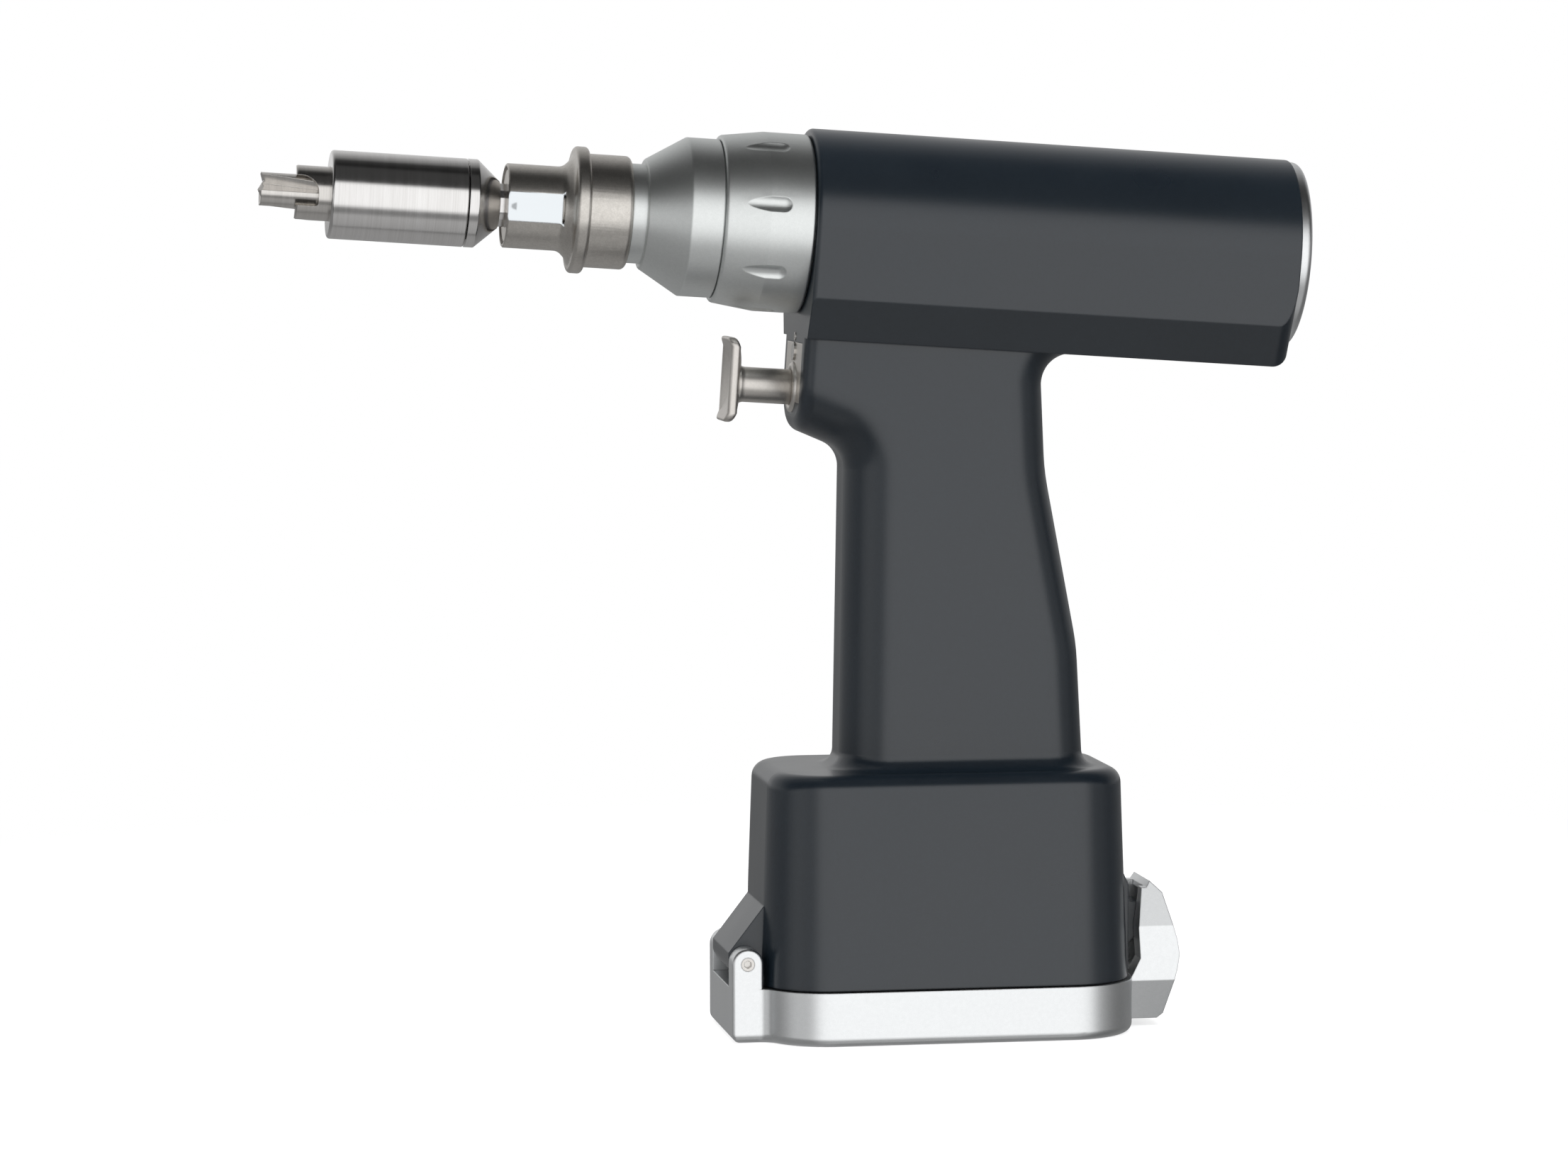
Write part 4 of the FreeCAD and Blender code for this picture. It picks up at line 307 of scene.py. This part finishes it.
def flat_mask_group():
    """Where the chuck sleeve's ground flat is: low in Y and forward along the barrel's axis."""
    group, tree, given, out = new_group(
        "flat_mask", [("Across", "value", -0.0102), ("Along", "value", FLAT_END / 1000)], [("Mask", "value")])
    place = tree.node("ShaderNodeTexCoord").outputs["Object"]
    centred = tree.vector("SUBTRACT", place, (0, 0, AXIS_HEIGHT))
    along = tree.vector("DOT_PRODUCT", centred, (math.cos(BARREL_TILT), 0, -math.sin(BARREL_TILT)))
    across = tree.node("ShaderNodeSeparateXYZ", {0: place}).outputs["Y"]
    low = tree.math("LESS_THAN", across, given["Across"])
    front = tree.math("LESS_THAN", along, given["Along"])
    tree.tree.links.new(tree.math("MULTIPLY", low, front), out["Mask"])
    return group


def sleeve_material():
    """Blasted sleeve whose one flat is ground bright."""
    material, tree, shader = new_material("sleeve_steel", Metallic=1.0)
    grain = use_group(tree, FINE_GRAIN, Size=0.0004, Cloud=0.03)
    corner = use_group(tree, SOFT_EDGE, Radius=0.0004)
    flat = use_group(tree, flat_mask_group())["Mask"]
    blasted = tree.blend(spread(tree, grain["Mask"], 0, 1, 0.5, 2.0), linear(202, 198, 192), linear(222, 218, 212))
    tree.tree.links.new(tree.blend(flat, blasted, linear(222, 227, 230)), shader["Base Color"])
    rough = tree.math("SUBTRACT", spread(tree, grain["Drift"], 0.3, 0.38, 0.5, 1.6), tree.math("MULTIPLY", flat, 0.16))
    tree.tree.links.new(rough, shader["Roughness"])
    bump(tree, shader, grain["Height"], 0.000008, corner["Normal"])
    return material


sleeve_steel = sleeve_material()

FINISHES = {
    "housing_black": housing_coat,
    "case_black": moulded_black,
    "satin_aluminium": satin_aluminium,
    "grey_steel": blasted_steel,
    "brushed_steel": turned_steel,
    "bright_steel": ground_steel,
    "spring_steel": spring_wire,
    "core_steel": core_sheets,
    "magnet_dark": magnet_plating,
    "copper": copper_winding,
    "contact_gold": contact_gold,
    "board_green": board_green,
    "seal_rubber": seal_rubber,
    "cell_wrap": cell_sleeve,
}
SPECIAL_FINISHES = {
    "chuck_sleeve": sleeve_steel,
    "trigger_plate": trigger_steel,
    "nose_cone": nose_aluminium,
    "lock_ring": nose_aluminium,
    "coupling_tube": nose_aluminium,
}


def finish_cad_nodes():
    """Give every CAD node the finish of its slot in the record."""
    for row in frame["record"]["subparts"]:
        node = frame["nodes"][row["node"]]
        node.data.materials.clear()
        finish = SPECIAL_FINISHES.get(row["node"], FINISHES[row["material_slot"]])
        node.data.materials.append(finish)


finish_cad_nodes()


class Screws:
    """Small socket-head screws set into a face, made by one Geometry Nodes tree."""

    def __init__(self):
        self.group = bpy.data.node_groups.new("face_screws", "GeometryNodeTree")
        self.sockets = {}
        for label, kind, default in (
                ("Head radius", "NodeSocketFloat", 0.0011), ("Socket radius", "NodeSocketFloat", 0.0006),
                ("Depth", "NodeSocketFloat", 0.0008), ("First place", "NodeSocketVector", (0, 0, 0)),
                ("Last place", "NodeSocketVector", (0, 0, 0)), ("Count", "NodeSocketInt", 2),
                ("Turn", "NodeSocketVector", (0, 0, 0)), ("Finish", "NodeSocketMaterial", None)):
            socket = self.group.interface.new_socket(label, in_out="INPUT", socket_type=kind)
            self.sockets[label] = socket.identifier
            if default is not None:
                socket.default_value = default
        self.group.interface.new_socket("Geometry", in_out="OUTPUT", socket_type="NodeSocketGeometry")
        tree = Tree(self.group)
        given = tree.node("NodeGroupInput").outputs
        rim = tree.node("GeometryNodeCurvePrimitiveCircle", {"Resolution": 32, "Radius": given["Head radius"]})
        hexagon = tree.node("GeometryNodeCurvePrimitiveCircle", {
            "Resolution": 6, "Radius": given["Socket radius"]})
        outline = tree.node("GeometryNodeJoinGeometry")
        for curve in (rim, hexagon):
            self.group.links.new(curve.outputs["Curve"], outline.inputs[0])
        face = tree.node("GeometryNodeFillCurve", {"Curve": outline.outputs[0]})
        head = tree.node("GeometryNodeExtrudeMesh", {
            "Mesh": face.outputs[0], "Offset": (0, 0, 1), "Offset Scale": given["Depth"]})
        head.inputs["Individual"].default_value = False
        cap = tree.node("GeometryNodeFillCurve", {"Curve": hexagon.outputs["Curve"]})
        both = tree.node("GeometryNodeJoinGeometry")
        for part in (head.outputs["Mesh"], face.outputs[0], cap.outputs[0]):
            self.group.links.new(part, both.inputs[0])
        merged = tree.node("GeometryNodeMergeByDistance", {"Geometry": both.outputs[0], "Distance": 0.00001})
        row = tree.node("GeometryNodeMeshLine", {
            "Count": given["Count"], "Start Location": given["First place"], "Offset": given["Last place"]},
            mode="END_POINTS")
        spots = tree.node("GeometryNodeInstanceOnPoints", {
            "Points": row.outputs[0], "Instance": merged.outputs[0], "Rotation": given["Turn"]})
        real = tree.node("GeometryNodeRealizeInstances", {"Geometry": spots.outputs[0]})
        painted = tree.node("GeometryNodeSetMaterial", {
            "Geometry": real.outputs[0], "Material": given["Finish"]})
        self.group.links.new(painted.outputs[0], tree.node("NodeGroupOutput").inputs[0])

    def make(self, name, body, slot, **given):
        holder = bpy.data.objects.new(name, bpy.data.meshes.new(name))
        bpy.context.scene.collection.objects.link(holder)
        modifier = holder.modifiers.new("screws", "NODES")
        modifier.node_group = self.group
        for label, setting in given.items():
            modifier[self.sockets[label.replace("_", " ")]] = setting
        bpy.context.view_layer.update()
        evaluated = holder.evaluated_get(bpy.context.evaluated_depsgraph_get())
        mesh = bpy.data.meshes.new_from_object(evaluated)
        holder.modifiers.remove(modifier)
        holder.data = mesh
        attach(holder, body)


def on_barrel(along, across, up):
    """Place on the drill, in metres, of a point given in millimetres on the barrel's axis frame."""
    tilt = Matrix.Rotation(BARREL_TILT, 3, "Y")
    return tuple(tilt @ (Vector((along, across, up)) / 1000) + Vector((0, 0, AXIS_HEIGHT)))


def trigger_face_screws():
    """Two small screws, above and below the trigger's plate."""
    Screws().make("face_screws", "housing", "bright_steel", First_place=on_barrel(-34.4, 0, -29.2),
                  Last_place=on_barrel(-34.2, 0, -48.0), Turn=(0, -math.pi / 2 + BARREL_TILT, 0),
                  Finish=ground_steel)


def new_piece(name, rows, loops, body, slot, finish, *nodes):
    """A closed piece on the barrel's frame from vertex rows in millimetres and faces as index loops."""
    mesh = bpy.data.meshes.new(name)
    mesh.from_pydata([on_barrel(*row) for row in rows], [], loops)
    shape = bmesh.new()
    shape.from_mesh(mesh)
    bmesh.ops.recalc_face_normals(shape, faces=shape.faces)
    shape.to_mesh(mesh)
    shape.free()
    for face in mesh.polygons:
        face.use_smooth = True
    mesh.materials.append(finish)
    piece = bpy.data.objects.new(name, mesh)
    bpy.context.scene.collection.objects.link(piece)
    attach(piece, body)
    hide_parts(*nodes)


def ring_skin(start, count, rings):
    """Quads between rings of vertices that follow one another, each of the same count."""
    loops = []
    for ring in range(rings - 1):
        low, high = start + ring * count, start + (ring + 1) * count
        for step in range(count):
            after = (step + 1) % count
            loops.append((low + step, low + after, high + after, high + step))
    return loops


def turned_rows(profile, centre_up, count):
    """Rings of (along, radius) points about an axis parallel to the barrel's."""
    rows = []
    for along, radius in profile:
        for step in range(count):
            turn = 2 * math.pi * step / count
            rows.append((along, radius * math.cos(turn), centre_up + radius * math.sin(turn)))
    return rows


def rounded_outline(half_width, half_height, corner, count=12):
    """Points round a rectangle with round corners, as (across, up)."""
    points = []
    for quarter, (side, rise) in enumerate(((1, 1), (-1, 1), (-1, -1), (1, -1))):
        for step in range(count + 1):
            turn = math.pi / 2 * (quarter + step / count)
            points.append((side * (half_width - corner) + corner * math.cos(turn),
                           rise * (half_height - corner) + corner * math.sin(turn)))
    return points


# Millimetres on the barrel's frame, and a count of points round a turned piece
TRIGGER_DROP = -42.5
ROUND_POINTS = 64
BUSH_RADIUS = 6.5
BUSH_PLAY = 0.06
BUSH_FRONT = -35.8
BUSH_REAR = -28.7
# Degrees past which an edge of the sleeve shows as sharp
SHARP_ANGLE = 14
BLADE = {"half_width": 8.0, "half_height": 11.0, "corner": 2.4, "thickness": 2.6, "edge": 0.95, "middle": -51.2,
         "bow": 46.0, "lift": 1.2}
ROD_RADIUS = 4.6


def trigger_blade():
    """Finger plate bowed to a hollow front and a full back, with round edges, on its rod."""
    edge, thick = BLADE["edge"], BLADE["thickness"]
    steps = [math.pi / 2 * step / 6 for step in range(7)]
    profile = [(inset, 0.0) for inset in (7.4, 6.0, 4.6, 3.2, 2.0, 1.3)]
    profile += [(edge * (1 - math.sin(turn)), edge * (1 - math.cos(turn))) for turn in steps]
    profile += [(edge * (1 - math.cos(turn)), thick - edge * (1 - math.sin(turn))) for turn in steps]
    profile += [(inset, thick) for inset in (1.3, 2.0, 3.2, 4.6, 6.0, 7.4)]
    rows = []
    for inset, depth in profile:
        outline = rounded_outline(BLADE["half_width"] - inset, BLADE["half_height"] - inset,
                                  max(BLADE["corner"] - inset, 0.3))
        for across, up in outline:
            rows.append((BLADE["middle"] - up * up / BLADE["bow"] + depth, across,
                         TRIGGER_DROP + BLADE["lift"] + up))
    count = len(outline)
    loops = ring_skin(0, count, len(profile))
    loops += [tuple(range(count)), tuple(range(len(rows) - count, len(rows)))]
    start = len(rows)
    rod = [(-49.9, ROD_RADIUS + 0.8), (-48.9, ROD_RADIUS + 0.3), (-48.4, ROD_RADIUS + 0.08), (-47.9, ROD_RADIUS),
           (-28.6, ROD_RADIUS), (-28.0, ROD_RADIUS - 0.6)]
    rows += turned_rows(rod, TRIGGER_DROP, ROUND_POINTS)
    loops += ring_skin(start, ROUND_POINTS, len(rod))
    loops += [tuple(range(start, start + ROUND_POINTS)), tuple(range(len(rows) - ROUND_POINTS, len(rows)))]
    new_piece("trigger_blade", rows, loops, "trigger_group", "grey_steel", trigger_steel, "trigger")


def trigger_bush_ring():
    """Bush of the trigger's rod, a thin bright rim proud of the plate."""
    inner = ROD_RADIUS + BUSH_PLAY
    profile = [(BUSH_REAR, inner), (BUSH_FRONT + 0.3, inner), (BUSH_FRONT, inner + 0.3),
               (BUSH_FRONT, BUSH_RADIUS - 0.35), (BUSH_FRONT + 0.35, BUSH_RADIUS), (BUSH_REAR, BUSH_RADIUS)]
    rows = turned_rows(profile, TRIGGER_DROP, ROUND_POINTS)
    loops = ring_skin(0, ROUND_POINTS, len(profile))
    last = (len(profile) - 1) * ROUND_POINTS
    for step in range(ROUND_POINTS):
        after = (step + 1) % ROUND_POINTS
        loops.append((last + step, last + after, after, step))
    new_piece("trigger_bush_ring", rows, loops, "housing", "grey_steel", trigger_steel, "trigger_bush")


def barrel_block(name, low, high):
    """A block between two corners in millimetres on the barrel's frame, to cut with."""
    corners = []
    for picked in product((low, high), repeat=3):
        corners.append(on_barrel(*(end[axis] for axis, end in enumerate(picked))))
    mesh = bpy.data.meshes.new(name)
    mesh.from_pydata(corners, [], [(0, 1, 3, 2), (4, 6, 7, 5), (0, 4, 5, 1), (2, 3, 7, 6), (0, 2, 6, 4),
                                   (1, 5, 7, 3)])
    block = bpy.data.objects.new(name, mesh)
    bpy.context.scene.collection.objects.link(block)
    return block


def sleeve_with_long_flat():
    """Chuck sleeve whose ground flat runs back into the flange's web."""
    mesh = frame["nodes"]["chuck_sleeve"].data.copy()
    shape = bmesh.new()
    shape.from_mesh(mesh)
    bmesh.ops.remove_doubles(shape, verts=shape.verts, dist=1e-6)
    shape.to_mesh(mesh)
    shape.free()
    sleeve = bpy.data.objects.new("chuck_sleeve_flat", mesh)
    bpy.context.scene.collection.objects.link(sleeve)
    cutter = barrel_block("flat_cutter", (FLAT_CUTTER_FRONT, FLAT_CUTTER_OUTSIDE, -FLAT_CUTTER_HALF),
                          (FLAT_END, FLAT_DEPTH, FLAT_CUTTER_HALF))
    cut = sleeve.modifiers.new("flat", "BOOLEAN")
    cut.operation = "DIFFERENCE"
    cut.solver = "EXACT"
    cut.object = cutter
    bpy.context.view_layer.update()
    evaluated = sleeve.evaluated_get(bpy.context.evaluated_depsgraph_get())
    final = bpy.data.meshes.new_from_object(evaluated)
    sleeve.modifiers.remove(cut)
    sleeve.data = final
    bpy.data.objects.remove(cutter)
    for face in final.polygons:
        face.use_smooth = True
    final.set_sharp_from_angle(angle=math.radians(SHARP_ANGLE))
    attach(sleeve, "release_sleeve")
    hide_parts("chuck_sleeve")


trigger_face_screws()
trigger_blade()
trigger_bush_ring()
sleeve_with_long_flat()


def shadow_floor():
    """Pale floor: it keeps a soft shadow round the drill and is plain white further out."""
    mesh = bpy.data.meshes.new("studio_floor")
    reach = 30.0
    mesh.from_pydata([(-reach, -reach, 0), (reach, -reach, 0), (reach, reach, 0), (-reach, reach, 0)], [],
                     [(0, 1, 2, 3)])
    floor = bpy.data.objects.new("studio_floor", mesh)
    bpy.context.scene.collection.objects.link(floor)
    material = bpy.data.materials.new("floor_paper")
    material.use_nodes = True
    tree = Tree(material.node_tree)
    tree.tree.nodes.clear()
    path = tree.node("ShaderNodeLightPath").outputs
    place = tree.node("ShaderNodeTexCoord").outputs["Object"]
    paper = tree.node("ShaderNodeBsdfDiffuse", {"Color": (0.86, 0.86, 0.86, 1)})
    lift = tree.math("MULTIPLY", path["Is Camera Ray"], 0.6)
    glow = tree.node("ShaderNodeEmission", {"Strength": lift})
    near = tree.node("ShaderNodeAddShader", {0: paper.outputs[0], 1: glow.outputs[0]})
    tone = tree.node("ShaderNodeGroup", {
        "Direction": tree.vector("SUBTRACT", place, (0, 0, 0.12))}, node_tree=ROOM_TONE).outputs[0]
    far = tree.node("ShaderNodeEmission", {"Strength": room_light(tree, path, tone)})
    share = tree.node("ShaderNodeMapRange", {
        "Value": tree.vector("LENGTH", place), "From Min": 0.2, "From Max": 0.5}, interpolation_type="SMOOTHSTEP")
    both = tree.node("ShaderNodeMixShader", {0: share.outputs[0], 1: near.outputs[0], 2: far.outputs[0]})
    tree.node("ShaderNodeOutputMaterial", {"Surface": both.outputs[0]})
    mesh.materials.append(material)
    floor.visible_glossy = False


def room_light(tree, path, tone):
    """White to the camera, the room's tone in reflections, and a plain level as a light."""
    straight = tree.math("MAXIMUM", path["Is Camera Ray"], path["Is Transmission Ray"])
    mirror = tree.math("MULTIPLY", path["Is Glossy Ray"], tone)
    rest = tree.math("SUBTRACT", tree.math("SUBTRACT", 1.0, straight), path["Is Glossy Ray"])
    other = tree.math("MAXIMUM", rest, 0.0)
    return tree.math("ADD", tree.math("ADD", straight, mirror), tree.math("MULTIPLY", other, 0.42))


def studio_world():
    """White room: white to the camera, toned in reflections, dimmer as a light."""
    world = bpy.data.worlds.new("studio")
    bpy.context.scene.world = world
    world.use_nodes = True
    tree = Tree(world.node_tree)
    tree.tree.nodes.clear()
    path = tree.node("ShaderNodeLightPath").outputs
    way = tree.node("ShaderNodeTexCoord").outputs["Generated"]
    tone = tree.node("ShaderNodeGroup", {"Direction": way}, node_tree=ROOM_TONE).outputs[0]
    light = tree.node("ShaderNodeBackground", {
        "Color": (1, 1, 1, 1), "Strength": room_light(tree, path, tone)})
    tree.node("ShaderNodeOutputWorld", {"Surface": light.outputs[0]})


def soft_lamp(name, place, target, width, height, watts):
    lamp = bpy.data.lights.new(name, "AREA")
    lamp.shape = "RECTANGLE"
    lamp.size = width
    lamp.size_y = height
    lamp.energy = watts
    holder = bpy.data.objects.new(name, lamp)
    holder.location = place
    holder.visible_glossy = False
    holder.rotation_euler = (Vector(target) - Vector(place)).to_track_quat("-Z", "Y").to_euler()
    bpy.context.scene.collection.objects.link(holder)


def photo_camera():
    yaw, rise, roll = (math.radians(turn) for turn in (CAMERA_YAW, CAMERA_RISE, CAMERA_ROLL))
    back = Vector((math.sin(yaw) * math.cos(rise), -math.cos(yaw) * math.cos(rise), math.sin(rise)))
    level = Vector((0, 0, 1)).cross(back).normalized()
    upright = back.cross(level)
    right = level * math.cos(roll) + upright * math.sin(roll)
    up = upright * math.cos(roll) - level * math.sin(roll)
    camera = bpy.data.cameras.new("photo_camera")
    camera.lens = CAMERA_LENS
    camera.sensor_width = 36
    camera.sensor_fit = "HORIZONTAL"
    holder = bpy.data.objects.new("photo_camera", camera)
    turn = Matrix((right, up, back)).transposed().to_4x4()
    holder.matrix_world = Matrix.Translation(CAMERA_PLACE) @ turn
    bpy.context.scene.collection.objects.link(holder)
    bpy.context.scene.camera = holder


shadow_floor()
studio_world()
soft_lamp("overhead_box", (0.1, -0.1, 1.2), (0, 0, 0.15), 1.2, 0.8, 9)
soft_lamp("left_box", (-1.1, -0.7, 0.6), (0, 0, 0.15), 0.5, 0.9, 5)
soft_lamp("right_box", (1.2, -0.5, 0.5), (0, 0, 0.12), 0.5, 0.9, 3.5)
photo_camera()
bpy.context.scene.view_settings.view_transform = "Standard"
